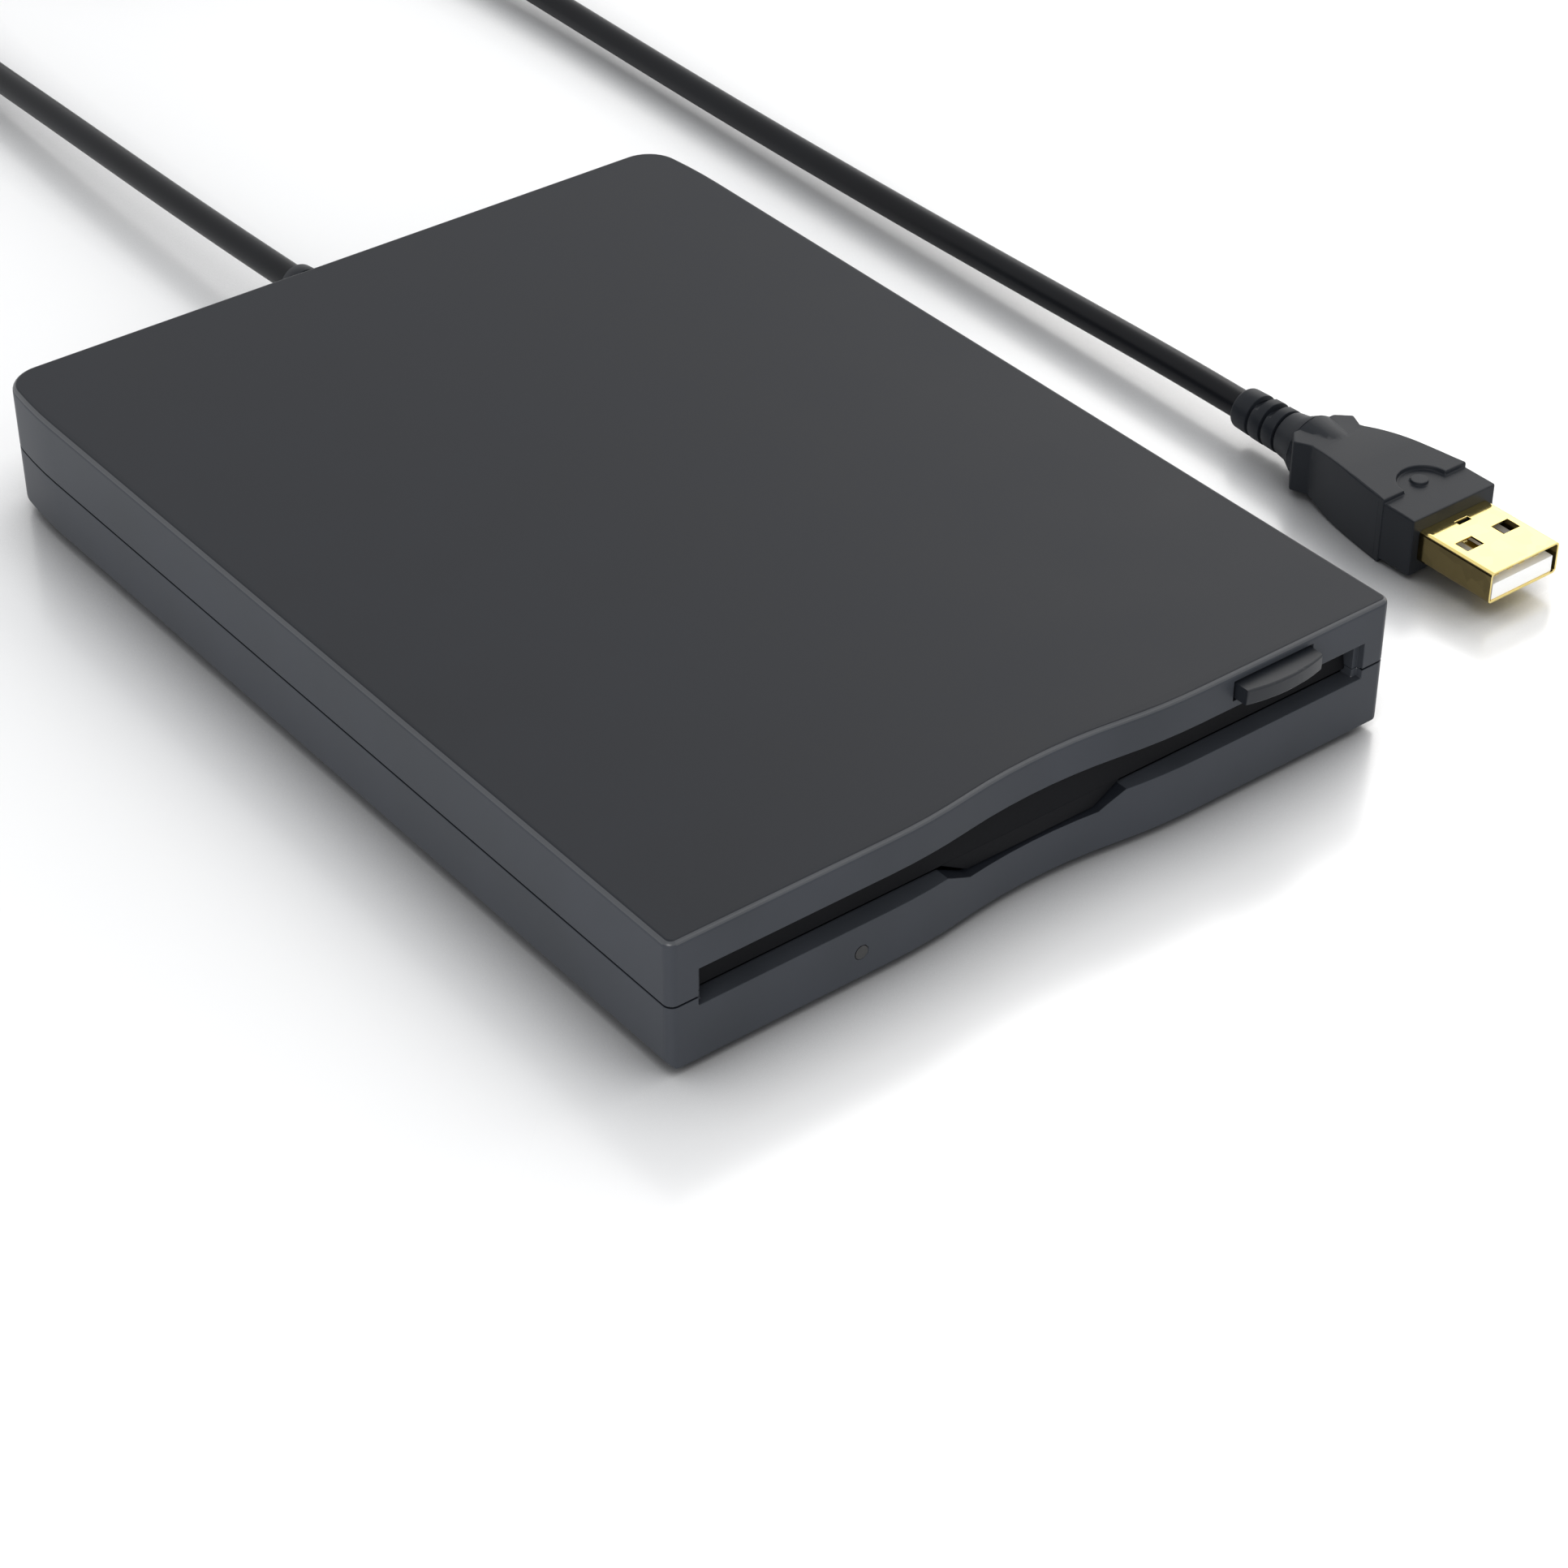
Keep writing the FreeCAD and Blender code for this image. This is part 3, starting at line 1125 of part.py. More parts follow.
# ---------------------------------------------------------------- electronics

usb_pegs_at = [(-23.0, 67.6), (23.0, 67.6)]
usb_board_low = as_size(5.0)
usb_board_top = usb_board_low + board_thick


def build_switches():
    """Three push switches on the board: a housing each, and a plunger that rises in it."""
    housings = []
    top = seat_z - 0.1
    for name, (x, y) in switches_at.items():
        solid = box(f"{name}_housing", (x - switch_half, x + switch_half),
                    (y - switch_half, y + switch_half), (board_top, top))
        bore = rod(f"{name}_bore", "Z", (x, y, board_top + 0.1), 0.8, 5.0)
        housings.append(less(f"{name}_case", solid, [bore]))
        plunger = rod(f"{name}_plunger", "Z", (x, y, top - 1.1), 0.75,
                      bay_low - 0.4 - top + 1.1)
        keep(plunger, f"{name}_plunger")
    return keep(together("SwitchHousings", housings), "switch_housings")


def build_boards():
    low, high = board_low, board_top
    board = box("DriveBoardSheet", (-36.0, 36.0), (chassis_front - 2.0, 57.0), (low, high))
    keep(board, "drive_board")
    x, y = chip_at
    chips = [box("ControlChip", (x - chip_half, x + chip_half), (y - chip_half, y + chip_half),
                 (high, high + 1.3)),
             box("MotorChip", (26.0, 33.0), (-36.0, -29.0), (high, high + 0.5))]
    keep(together("DriveChips", chips), "drive_chips")
    usb = box("UsbBoardSheet", (-26.0, 26.0), (chassis_rear + 1.2, inner_rear - 0.4),
              (usb_board_low, usb_board_top))
    holes = [box(f"UsbBoardHole{i}", (x - 0.7, x + 0.7), (y - 0.7, y + 0.7),
                 (usb_board_low - 1.0, usb_board_top + 1.0))
             for i, (x, y) in enumerate(usb_pegs_at)]
    notch = box("UsbBoardNotch", (exit_x - 4.2, exit_x + 4.2),
                (inner_rear - 2.6, inner_rear + 1.0), (usb_board_low - 1.0, usb_board_top + 1.0))
    keep(less("UsbBoard", usb, holes + [notch]), "usb_board")
    middle = (chassis_rear + inner_rear) / 2
    keep(box("BridgeChip", (8.0, 15.0), (middle - 3.5, middle + 3.5),
             (usb_board_top, usb_board_top + 1.2)), "bridge_chip")
    can = rod("CrystalCan", "X", (16.5, middle, usb_board_top + 1.0), 1.0, 4.2)
    keep(can, "crystal")
    header = box("HeaderBlock", (exit_x - 5.0, exit_x + 5.0), (chassis_rear + 1.8, chassis_rear + 5.8),
                 (usb_board_top, usb_board_top + 3.6))
    keep(header, "cord_header")
    leads = [stub(f"Lead{i}", (exit_x + (i - 1.5) * 1.1, chassis_rear + 5.8, exit_z), 0.45,
                  inner_rear - 2.2 - chassis_rear - 5.8, "Y") for i in range(4)]
    return keep(together("CordLeads", leads), "cord_leads")


def build_ribbon():
    """The flat cable between the boards, folded up from one plug to the other."""
    x0, x1 = ribbon_x
    first = box("RibbonPlugA", (x0, x1), (51.2, 54.6), (board_top, board_top + 1.5))
    second = box("RibbonPlugB", (x0, -26.0 + 7.0), (chassis_rear + 1.6, chassis_rear + 4.4),
                 (usb_board_top, usb_board_top + 1.4))
    owner = body("Ribbon")
    low_z = board_top + 0.6
    high_z = usb_board_top + 0.6
    knee = as_size(56.6)
    knee_out = chassis_rear + 0.2
    thick = as_size(0.25)
    profile = outline(owner, "ribbon_path", "YZ_Plane", x0 + 1.0, [
        (54.6, low_z), (knee, low_z), (knee_out, high_z), (chassis_rear + 1.6, high_z),
        (chassis_rear + 1.6, high_z + thick), (knee_out - 0.1, high_z + thick),
        (knee - 0.1, low_z + thick), (54.6, low_z + thick)])
    pad(owner, profile, x1 - x0 - 2.0)
    keep(owner, "ribbon_cable")
    return keep(together("RibbonPlugs", [first, second]), "ribbon_plugs")


# ---------------------------------------------------------------- cord and plug

neck_radius = as_size(2.5)
tail_wide = as_size(3.7)
boot_back = as_size(-13.2)
mould_back = as_size(-25.6)
mould_step = plug_front + 17.5
block_front = plug_front + shell_long
coil_at = Vector(58.5, 232.0, 5.0)
tie_from = 221.0
tie_turn = 14.0
collar_long = as_size(3.05)
boot_core = as_size(2.3)
ring_long = as_size(2.05)
ring_gap = as_size(0.45)
boot_slot_half = as_size(1.9)
boot_slot_deep = 2.0
ridge_radius = as_size(4.4)
ridge_long = 6.6
grip_half = as_size(7.3)
grip_waist = as_size(4.3)
grip_flare = as_size(5.4)
grip_back = as_size(3.6)
flare_long = 1.85
waist_long = 4.2
wedge_long = 12.8
grip_tall = as_size(4.65)
block_half = as_size(7.2)
block_tall = as_size(4.05)
bay_radius = as_size(3.6)
grip_boss_radius = as_size(1.15)
tongue_tall = as_size(2.3)
relief_end = rear + relief_long

# The points that the free cord goes through, from the drive to the coil and on to the plug.
drive_route = [(0.5, 86.0, 7.7), (0.6, 122.0, 6.9), (0.8, 163.0, 5.2), (1.5, 212.0, 2.8),
               (19.5, 241.5, 2.5), (50.5, 252.6, 3.6)]
plug_route = [(80.5, 232.0, 3.2), (82.4, 205.0, 3.9), (84.4, 147.0, 3.5), (83.5, 92.0, 3.4),
              (84.2, 38.0, 3.9), (83.9, 6.0, 4.5), (83.8, boot_back.value, 4.65)]


def cord_wire(points, name):
    """Straight runs joined by tangent arcs, each as wide as its two runs allow."""
    points = [Vector(*p) for p in points]
    edges = []
    start = points[0]
    radii = []
    for before, corner, after in zip(points, points[1:], points[2:]):
        back, ahead = (before - corner), (after - corner)
        shorter = min(back.Length, ahead.Length)
        turn = math.pi - back.getAngle(ahead)
        reach = 0.45 * shorter
        radii.append(reach / math.tan(turn / 2))
        into = corner + back.normalize() * reach
        out = corner + ahead.normalize() * reach
        bisector = (back + ahead).normalize()
        middle = corner + bisector * (radii[-1] * (1 / math.cos(turn / 2) - 1))
        edges.append(Part.LineSegment(start, into).toShape())
        edges.append(Part.Arc(into, middle, out).toShape())
        start = out
    edges.append(Part.LineSegment(start, points[-1]).toShape())
    print(name, "arc radii", [round(r, 1) for r in radii])
    return Part.Wire(edges)


def cord_tube(points, label):
    """The plain tube of a cord along its route, whose volume is checked."""
    wire = cord_wire(points, label)
    first = wire.OrderedEdges[0]
    start = first.valueAt(first.FirstParameter)
    ring = Part.Wire(Part.Circle(start, first.tangentAt(first.FirstParameter),
                                 float(cord_radius)).toShape())
    made = doc.addObject("Part::Feature", label + "_tube")
    made.Shape = wire.makePipeShell([ring], True, False)
    wanted = math.pi * float(cord_radius) ** 2 * wire.Length
    print(label, "length", round(wire.Length, 1), "volume ratio",
          round(made.Shape.Volume / wanted, 5))
    return keep(made, label)


def turned(name, at_x, at_z, profile):
    """A solid turned about a line along Y, from a profile of (y, radius) corners."""
    owner = body(name)
    corners = [(at_x + radius, y) for y, radius in profile]
    corners = [(at_x, profile[0][0])] + corners + [(at_x, profile[-1][0])]
    sketch = outline(owner, name + "_profile", "XY_Plane", at_z, corners)
    axis_line = len(corners) - 1
    made = owner.newObject("PartDesign::Revolution", name + "_turn")
    made.Profile = sketch
    made.ReferenceAxis = (sketch, [f"Edge{axis_line + 1}"])
    made.Angle = 360.0
    return owner


def ringed(start, count, wide, narrow, ring, gap, sign):
    """Profile steps of a boot: rings with narrow gaps between them."""
    steps = []
    y = start
    for _ in range(count):
        steps += [(y, wide), (y + sign * ring, wide), (y + sign * ring, narrow),
                  (y + sign * (ring + gap), narrow)]
        y = y + sign * (ring + gap)
    return steps, y


def build_relief():
    """The strain relief: a flange held inside the rear wall, a neck, and a tapered tail."""
    flange = inner_rear - 1.4
    profile = [(inner_rear - 2.2, 2.4), (flange, 2.4), (flange, 3.6), (inner_rear, 3.6),
               (inner_rear, neck_radius), (rear, neck_radius)]
    profile += [(rear, tail_wide), (relief_end - 3.0, tail_wide - 0.3), (relief_end, tail_wide - 0.7)]
    owner = turned("StrainRelief", exit_x, exit_z, profile)
    hole = circles(owner, "relief_bore", "XZ_Plane", -(relief_end + 1.0), [(exit_x, exit_z)],
                   cord_radius)
    pocket(owner, hole, relief_end - 86.0 + 1.0, True)
    return keep(owner, "rear_strain_relief")


def eight_sided_ring(name, bundle, first, turned_by):
    """Part of a ring of eight-sided bar round the coil's middle, from an angle in degrees."""
    section = doc.addObject("Part::RegularPolygon", name + "Section")
    section.Polygon = 8
    bind(section, "Circumradius", bundle)
    section.Placement = FreeCAD.Placement(coil_at + Vector(float(coil_radius), 0, 0),
                                          FreeCAD.Rotation(Vector(1, 0, 0), 90))
    section.setExpression("Placement.Base.x", f"{coil_at.x} + {coil_radius.text}")
    ring = doc.addObject("Part::Revolution", name)
    ring.Source = section
    ring.Axis = Vector(0, 0, 1)
    ring.Base = coil_at
    ring.Angle = turned_by
    ring.Solid = True
    ring.Placement = FreeCAD.Placement(Vector(), FreeCAD.Rotation(Vector(0, 0, 1), first), coil_at)
    return ring


def build_coil():
    """The put-away turns as one ring, and the tie round them."""
    keep(eight_sided_ring("CoilRing", coil_bundle, 0.0, 360.0), "cord_coil")
    band = eight_sided_ring("TieBand", coil_bundle + tie_thick, tie_from, tie_turn)
    core = eight_sided_ring("TieCore", coil_bundle, 0.0, 360.0)
    return keep(less("CordTie", band, [core]), "cord_tie")


def build_boot():
    """The boot between the cord and the plug: a collar, two rings and a neck, with slots."""
    collar_end = boot_back - collar_long
    steps = [(boot_back, as_size(2.5)), (collar_end, as_size(2.8)), (collar_end, boot_core),
             (collar_end - ring_gap, boot_core)]
    more, y = ringed(collar_end - ring_gap, 2, as_size(3.0), boot_core, ring_long, ring_gap, -1)
    steps += more + [(y, as_size(3.05)), (mould_back, ridge_radius)]
    owner = turned("PlugBoot", plug_x, plug_z, steps)
    # The slots that let the boot bend, over the gaps between the rings.
    pitch = ring_long + ring_gap
    for number in range(2):
        ahead = collar_end - pitch * number
        for name, sign in (("top", 1), ("under", -1)):
            slot = rectangle(owner, f"boot_slot_{name}_{number}", "XY_Plane",
                             plug_z + boot_core * sign * 0.9,
                             (plug_x - boot_slot_half, plug_x + boot_slot_half),
                             (ahead - ring_gap * 2.2, ahead))
            pocket(owner, slot, boot_slot_deep, sign > 0)
    return keep(owner, "plug_boot")


def build_overmould():
    """The grip: tapered and flared in plan, thinner at the boot, stepped down to a block."""
    owner = body("PlugOvermould")
    x = plug_x
    back = mould_back
    waist, flare = back - waist_long, back - flare_long
    corners = [
        (x - grip_half, mould_step), (x + grip_half, mould_step), (x + grip_waist, waist),
        (x + grip_flare, flare), (x + grip_back, back), (x - grip_back, back),
        (x - grip_flare, flare), (x - grip_waist, waist)]
    sketch = outline(owner, "grip_plan", "XY_Plane", plug_z - grip_tall, corners,
                     {1: (120.0, 1), 7: (120.0, 1)})
    pad(owner, sketch, grip_tall * 2)
    # Wedges off the top and bottom, so that the grip gets thinner towards the boot.
    for name, sign in (("top", 1), ("bottom", -1)):
        edge = plug_z + grip_tall * sign
        far = plug_z + sign * 8.0
        wedge = outline(owner, f"grip_wedge_{name}", "YZ_Plane", x - 12.0, [
            (back - wedge_long, edge), (waist - 0.2, plug_z + sign * 3.75),
            (back + 1.0, plug_z + sign * 3.5), (back + 1.0, far), (back - wedge_long, far)],
            {0: (40.0, -sign)})
        pocket(owner, wedge, 24.0, True)
    block = rectangle(owner, "grip_block", "XY_Plane", plug_z - block_tall,
                      (x - block_half, x + block_half), (block_front, mould_step + 1.0))
    pad(owner, block, block_tall * 2)
    for name, sign in (("top", 1), ("under", -1)):
        bay = circles(owner, f"grip_bay_{name}", "XY_Plane", plug_z + block_tall * sign,
                      [(x, mould_step)], bay_radius)
        pocket(owner, bay, 3.0, sign > 0)
    boss = circles(owner, "grip_boss", "XY_Plane", plug_z + block_tall - 0.1,
                   [(x, mould_step + 1.0)], grip_boss_radius)
    pad(owner, boss, 0.55)
    # The cone that carries the boot on to the grip, proud of its top and its underside.
    ridge = outline(owner, "grip_ridge", "XY_Plane", plug_z, [
        (x, back), (x + ridge_radius, back), (x + ridge_radius - 0.45, back - ridge_long),
        (x, back - ridge_long)])
    made = owner.newObject("PartDesign::Revolution", "grip_ridge_turn")
    made.Profile = ridge
    made.ReferenceAxis = (ridge, ["Edge4"])
    made.Angle = 360.0
    return keep(owner, "plug_overmould")


def shell_bar(name, wide, tall, back, front_, corner):
    """A rounded bar along Y, for the outside or the inside of the plug's shell."""
    owner = body(name)
    face = rectangle(owner, name + "_face", "XZ_Plane", -as_size(back),
                     (plug_x - wide, plug_x + wide), (plug_z - tall, plug_z + tall))
    pad(owner, face, as_size(back) - front_)
    dress(owner, "Fillet", name + "_rounds",
          lambda e: e.BoundBox.YLength > float(as_size(back) - front_) - 0.01, corner)
    return owner


def build_plug_metal():
    """The folded shell of the plug with its windows, the insulator tongue and four contacts."""
    x = plug_x
    y0, y1 = plug_front, block_front
    wide, tall = shell_wide / 2, shell_tall / 2
    outer = shell_bar("ShellOuter", wide, tall, y1, y0, 0.6)
    inner = shell_bar("ShellInner", wide - shell_metal, tall - shell_metal, y1 + 1.0, y0 - 1.0,
                      0.3)
    windows = [inner]
    for side in (-1, 1):
        middle = x + side * 3.2
        windows.append(box(f"ShellWindow{side + 1}", (middle - 1.45, middle + 1.45),
                           (y0 + 5.4, y0 + 7.6), (plug_z - 5.0, plug_z + 5.0)))
    windows.append(box("ShellLatch", (x - 1.1, x + 1.1), (y1 - 2.0, y1 - 1.2),
                       (plug_z, plug_z + 5.0)))
    keep(less("PlugShell", outer, windows), "plug_shell")
    low = plug_z - tall + shell_metal
    tongue = box("Tongue", (x - 5.3, x + 5.3), (y0 + 0.2, y1), (low, low + tongue_tall))
    keep(tongue, "plug_insulator")
    contacts = [box(f"Contact{i}", (x + place - 0.5, x + place + 0.5), (y0 + 1.4, y1),
                    (low + tongue_tall, low + tongue_tall + 0.15))
                for i, place in enumerate((-3.5, -1.0, 1.0, 3.5))]
    return keep(together("PlugContacts", contacts), "plug_contacts")


# ---------------------------------------------------------------- build and write

def build_all():
    build_bottom_shell()
    build_top_shell()
    build_feet()
    build_case_screws()
    build_lamp()
    build_door()
    build_door_spring()
    build_button()
    build_slider()
    build_slider_springs()
    build_carrier()
    build_chassis()
    build_cover()
    build_chassis_screws()
    build_seat_pins()
    build_spindle()
    build_carriage()
    build_upper_arm()
    build_rods()
    build_stepper()
    build_track_sensor()
    build_lever()
    build_switches()
    build_boards()
    build_ribbon()
    build_relief()
    cord_tube(drive_route, "drive_cord")
    build_coil()
    cord_tube(plug_route, "plug_cord")
    build_boot()
    build_overmould()
    build_plug_metal()


def check_all():
    """Stops on any object that failed, and on any sub-part that isn't a sound solid."""
    doc.recompute()
    faults = [f"{o.Name} {o.State}" for o in doc.Objects
              if "Invalid" in o.State or "Error" in o.State]
    for thing in nodes:
        if thing.Shape.isNull() or not thing.Shape.isValid() or not thing.Shape.Solids:
            faults.append(f"{thing.Label} has no valid solid")
    if faults:
        raise RuntimeError("; ".join(faults))


build_all()
check_all()
os.makedirs("parts", exist_ok=True)
for thing in nodes:
    thing.Shape.exportStep(f"parts/{thing.Label}.step")
    print(thing.Label, len(thing.Shape.Solids), "solids", round(thing.Shape.Volume, 1), "mm3")
print(len(nodes), "sub-parts")
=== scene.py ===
# %% [markdown]
# # An external floppy disk drive
# The object is a flat USB drive for 3.5 inch disks: two charcoal mouldings that meet at a fine
# seam, a waved front with the disk slot in it, a flap behind the slot, an eject button, and a
# round cord that ends in a gold plated plug. Its exact sizes come from a CAD frame. This file
# gives each piece of that frame its finished shape and its material, and then lights it.

# %% load the frame
import json
import math

import bmesh
import bpy
from mathutils import Matrix, Vector
from mathutils.bvhtree import BVHTree

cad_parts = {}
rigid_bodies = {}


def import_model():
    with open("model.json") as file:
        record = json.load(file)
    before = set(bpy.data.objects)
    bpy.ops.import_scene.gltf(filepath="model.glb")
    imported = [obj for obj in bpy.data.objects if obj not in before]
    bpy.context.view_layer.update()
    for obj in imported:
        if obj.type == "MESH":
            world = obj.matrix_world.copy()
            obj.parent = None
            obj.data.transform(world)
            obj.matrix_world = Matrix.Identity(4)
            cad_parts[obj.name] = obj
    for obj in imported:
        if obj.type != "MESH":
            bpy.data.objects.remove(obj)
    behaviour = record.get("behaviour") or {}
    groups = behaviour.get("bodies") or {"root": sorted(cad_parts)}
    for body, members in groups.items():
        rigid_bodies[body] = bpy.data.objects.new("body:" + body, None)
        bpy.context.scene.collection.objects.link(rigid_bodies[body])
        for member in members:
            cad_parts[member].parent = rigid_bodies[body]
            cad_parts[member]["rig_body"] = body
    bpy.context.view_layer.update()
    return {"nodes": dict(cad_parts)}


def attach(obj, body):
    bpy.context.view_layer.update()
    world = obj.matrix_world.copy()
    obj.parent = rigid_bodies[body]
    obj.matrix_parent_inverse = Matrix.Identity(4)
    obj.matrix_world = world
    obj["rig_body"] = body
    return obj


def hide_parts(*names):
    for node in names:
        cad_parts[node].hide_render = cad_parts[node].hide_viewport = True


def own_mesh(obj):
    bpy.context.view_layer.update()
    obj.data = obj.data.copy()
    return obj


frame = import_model()

# %% [markdown]
# Every length below is written in millimetres, as on a drawing, and Blender works in metres, so
# one value turns one into the other. Everything is deselected before a new piece is started,
# because Blender's edit operators act on all that is selected.

# %% small helpers for places and selection
MM = 0.001
SAME_PLACE = 0.002  # mm within which two corners are one


def mm(*values):
    """A point or a size in millimetres, as Blender's metres."""
    return Vector([value * MM for value in values])


def deselect_all():
    """Nothing selected and no edit mode, ready for a new piece."""
    if bpy.context.mode != "OBJECT":
        bpy.ops.object.mode_set(mode="OBJECT")
    for other in bpy.context.view_layer.objects:
        other.select_set(False)


def take(piece):
    """Selects this one piece and makes it the active one."""
    deselect_all()
    piece.select_set(True)
    bpy.context.view_layer.objects.active = piece


def settle(piece):
    """Applies all modifiers, so that the piece keeps its finished mesh."""
    take(piece)
    for name in [modifier.name for modifier in piece.modifiers]:
        bpy.ops.object.modifier_apply(modifier=name)


print("helpers ready, one millimetre is", MM)

# %% [markdown]
# ## Colours and nodes
# Colours are written as the hex values that a paint chart or a screen gives. Blender's shaders
# want linear light, so one function undoes the screen curve. A second small function adds one
# node with its settings and its links, which keeps each material short enough to read.

# %% colour and node helpers
def linear(hex_colour, alpha=1.0):
    """An sRGB hex colour as the linear values that a shader reads."""
    parts = [int(hex_colour[i : i + 2], 16) / 255 for i in (1, 3, 5)]
    bent = [p / 12.92 if p <= 0.04045 else ((p + 0.055) / 1.055) ** 2.4 for p in parts]
    return (*bent, alpha)


def add(tree, kind, inputs=None, **settings):
    """Adds a node: settings are its own values, inputs are numbers, or outputs to link."""
    node = tree.nodes.new(kind)
    for name, value in settings.items():
        setattr(node, name, value)
    for name, value in (inputs or {}).items():
        if isinstance(value, bpy.types.NodeSocket):
            tree.links.new(value, node.inputs[name])
        else:
            node.inputs[name].default_value = value
    return node


def start_material(name):
    """An empty node tree with its output, and Object coordinates to hang patterns on."""
    material = bpy.data.materials.new(name)
    material.use_nodes = True
    tree = material.node_tree
    tree.nodes.clear()
    place = add(tree, "ShaderNodeTexCoord").outputs["Object"]
    return material, tree, place


def end_material(tree, shader):
    """Links the finished shader to the material's output."""
    add(tree, "ShaderNodeOutputMaterial", {"Surface": shader.outputs["BSDF"]})


def two_tone(tree, pattern, low, high, start=0.3, stop=0.7):
    """A ramp that turns a pattern's height into one of two near colours."""
    ramp = add(tree, "ShaderNodeValToRGB", {"Fac": pattern})
    for stop_point, place, colour in zip(ramp.color_ramp.elements, (start, stop), (low, high)):
        stop_point.position = place
        stop_point.color = linear(colour)
    return ramp.outputs["Color"]


def span(tree, pattern, low, high):
    """Stretches a pattern's 0 to 1 into low to high, for a roughness that varies."""
    ends = {"Value": pattern, "To Min": low, "To Max": high}
    return add(tree, "ShaderNodeMapRange", ends).outputs["Result"]


def noise(tree, place, size_mm, detail):
    """Cloudy noise whose patches are about this many millimetres across."""
    scale = 1 / (size_mm * MM)
    return add(tree, "ShaderNodeTexNoise", {"Vector": place, "Scale": scale, "Detail": detail})


materials = {}
print("node helpers ready")

# %% [markdown]
# ## Moulded ABS
# The case halves are injection moulded ABS. The steel mould is spark eroded, which leaves a very
# fine even grain, so the plastic is nearly black but looks charcoal, because the grain spreads
# the light of the room over it. A real grain is about 0.1 mm, which is close to what shows here.
# Under it a slow change of roughness, some 15 mm wide, stands for the flow of the plastic and
# for hands. The door and the button are the same plastic from finer and coarser moulds.

# %% moulded plastic materials
GRAIN = 0.12  # mm across one dimple of the spark eroded mould
FLOW = 15.0  # mm across one patch of slightly different gloss
PLASTIC_IOR = 1.54  # how strongly plastic bends light


def moulded(name, dark, light, rough, grain=GRAIN, depth=0.012, specular=0.5):
    """A moulded plastic: two near colours, grain depth in mm, and a roughness that drifts."""
    material, tree, place = start_material(name)
    fine = noise(tree, place, grain, 3.0)
    slow = noise(tree, place, FLOW, 2.0)
    colour = two_tone(tree, slow.outputs["Fac"], dark, light)
    relief = add(
        tree,
        "ShaderNodeBump",
        {"Height": fine.outputs["Fac"], "Strength": 0.35, "Distance": depth * MM},
    )
    shader = add(
        tree,
        "ShaderNodeBsdfPrincipled",
        {
            "Base Color": colour,
            "Roughness": span(tree, slow.outputs["Fac"], rough - 0.05, rough + 0.05),
            "IOR": PLASTIC_IOR,
            "Specular IOR Level": specular,
            "Normal": relief.outputs["Normal"],
        },
    )
    end_material(tree, shader)
    materials[name] = material


moulded("abs_charcoal_grained", "#15181E", "#1A1D23", 0.5, specular=0.2)
# Painted light: the walls' colour is lighter than the top's, painted brightness, with the mould's finer
# grain.
moulded("abs_charcoal_walls_painted_light", "#34373C", "#393C42", 0.42, grain=0.08, depth=0.006, specular=0.12)
# Worn edges and a painted highlight: a glossy, worn-smooth grain, and a lighter colour as a painted line
# of light.
moulded("abs_charcoal_edge_wear_and_painted_highlight", "#2E3136", "#33363B", 0.32, grain=0.08, depth=0.004, specular=0.6)
# Painted light: a paler colour on the slot's shelf, painted light in its shade.
moulded("abs_charcoal_shelf_painted_light", "#2E3136", "#373A40", 0.5, grain=0.3, depth=0.02, specular=0.25)
moulded("abs_charcoal_button", "#191C21", "#1E2126", 0.38, specular=0.28)
moulded("abs_grained_door", "#050609", "#090A0E", 0.6, grain=0.45, depth=0.08, specular=0.1)
moulded("pvc_cord_satin", "#0C0D11", "#101216", 0.34, grain=0.5, depth=0.01, specular=0.13)
moulded("pvc_plug_moulding", "#1B1E23", "#202328", 0.42, grain=0.18, depth=0.02, specular=0.15)
moulded("rubber_foot", "#141414", "#1C1C1C", 0.75, grain=0.4, depth=0.03, specular=0.35)
moulded("acetal_natural", "#D8D4C8", "#E2DFD5", 0.35, grain=0.2)
moulded("nylon_white", "#DEDDD6", "#E8E7E1", 0.45, grain=0.2)
moulded("pbt_white", "#F6F6F2", "#FCFCFA", 0.35, grain=0.15, depth=0.006)
moulded("epoxy_black", "#101011", "#171718", 0.55, grain=0.1, depth=0.01)
moulded("ferrite_ceramic", "#2C2D30", "#35363A", 0.12, grain=0.05, depth=0.002, specular=0.7)
print("plastics:", sorted(materials))

# %% [markdown]
# ## Metals
# The chassis is zinc plated sheet steel. Zinc crystallises in broad flakes, the spangle, each
# with a slightly different tone, and the rolled sheet has fine lines along it. Screws and spring
# wire are harder and brighter, copper wire lies in turns, and sintered bronze is full of pores.
# The plug's shell is brass with a thin gold plate: mirror-like, with faint rolling lines.

# %% metal materials
def metal(name, dark, light, rough, flake=3.0, lines=0.15, along=(1, 1, 12), relief=0.004):
    """A metal: flake is the size of one patch of tone and lines the spacing of marks, in mm."""
    material, tree, place = start_material(name)
    patches = add(tree, "ShaderNodeTexVoronoi", {"Vector": place, "Scale": 1 / (flake * MM)})
    stretch = add(tree, "ShaderNodeMapping", {"Vector": place, "Scale": tuple(1 / a for a in along)})
    marks = noise(tree, stretch.outputs["Vector"], lines, 2.0)
    tone = add(tree, "ShaderNodeSeparateColor", {"Color": patches.outputs["Color"]})
    bump = add(
        tree,
        "ShaderNodeBump",
        {"Height": marks.outputs["Fac"], "Strength": 0.4, "Distance": relief * MM},
    )
    shader = add(
        tree,
        "ShaderNodeBsdfPrincipled",
        {
            "Base Color": two_tone(tree, tone.outputs["Red"], dark, light, 0.0, 1.0),
            "Metallic": 1.0,
            "Roughness": span(tree, marks.outputs["Fac"], rough - 0.06, rough + 0.06),
            "Normal": bump.outputs["Normal"],
        },
    )
    end_material(tree, shader)
    materials[name] = material


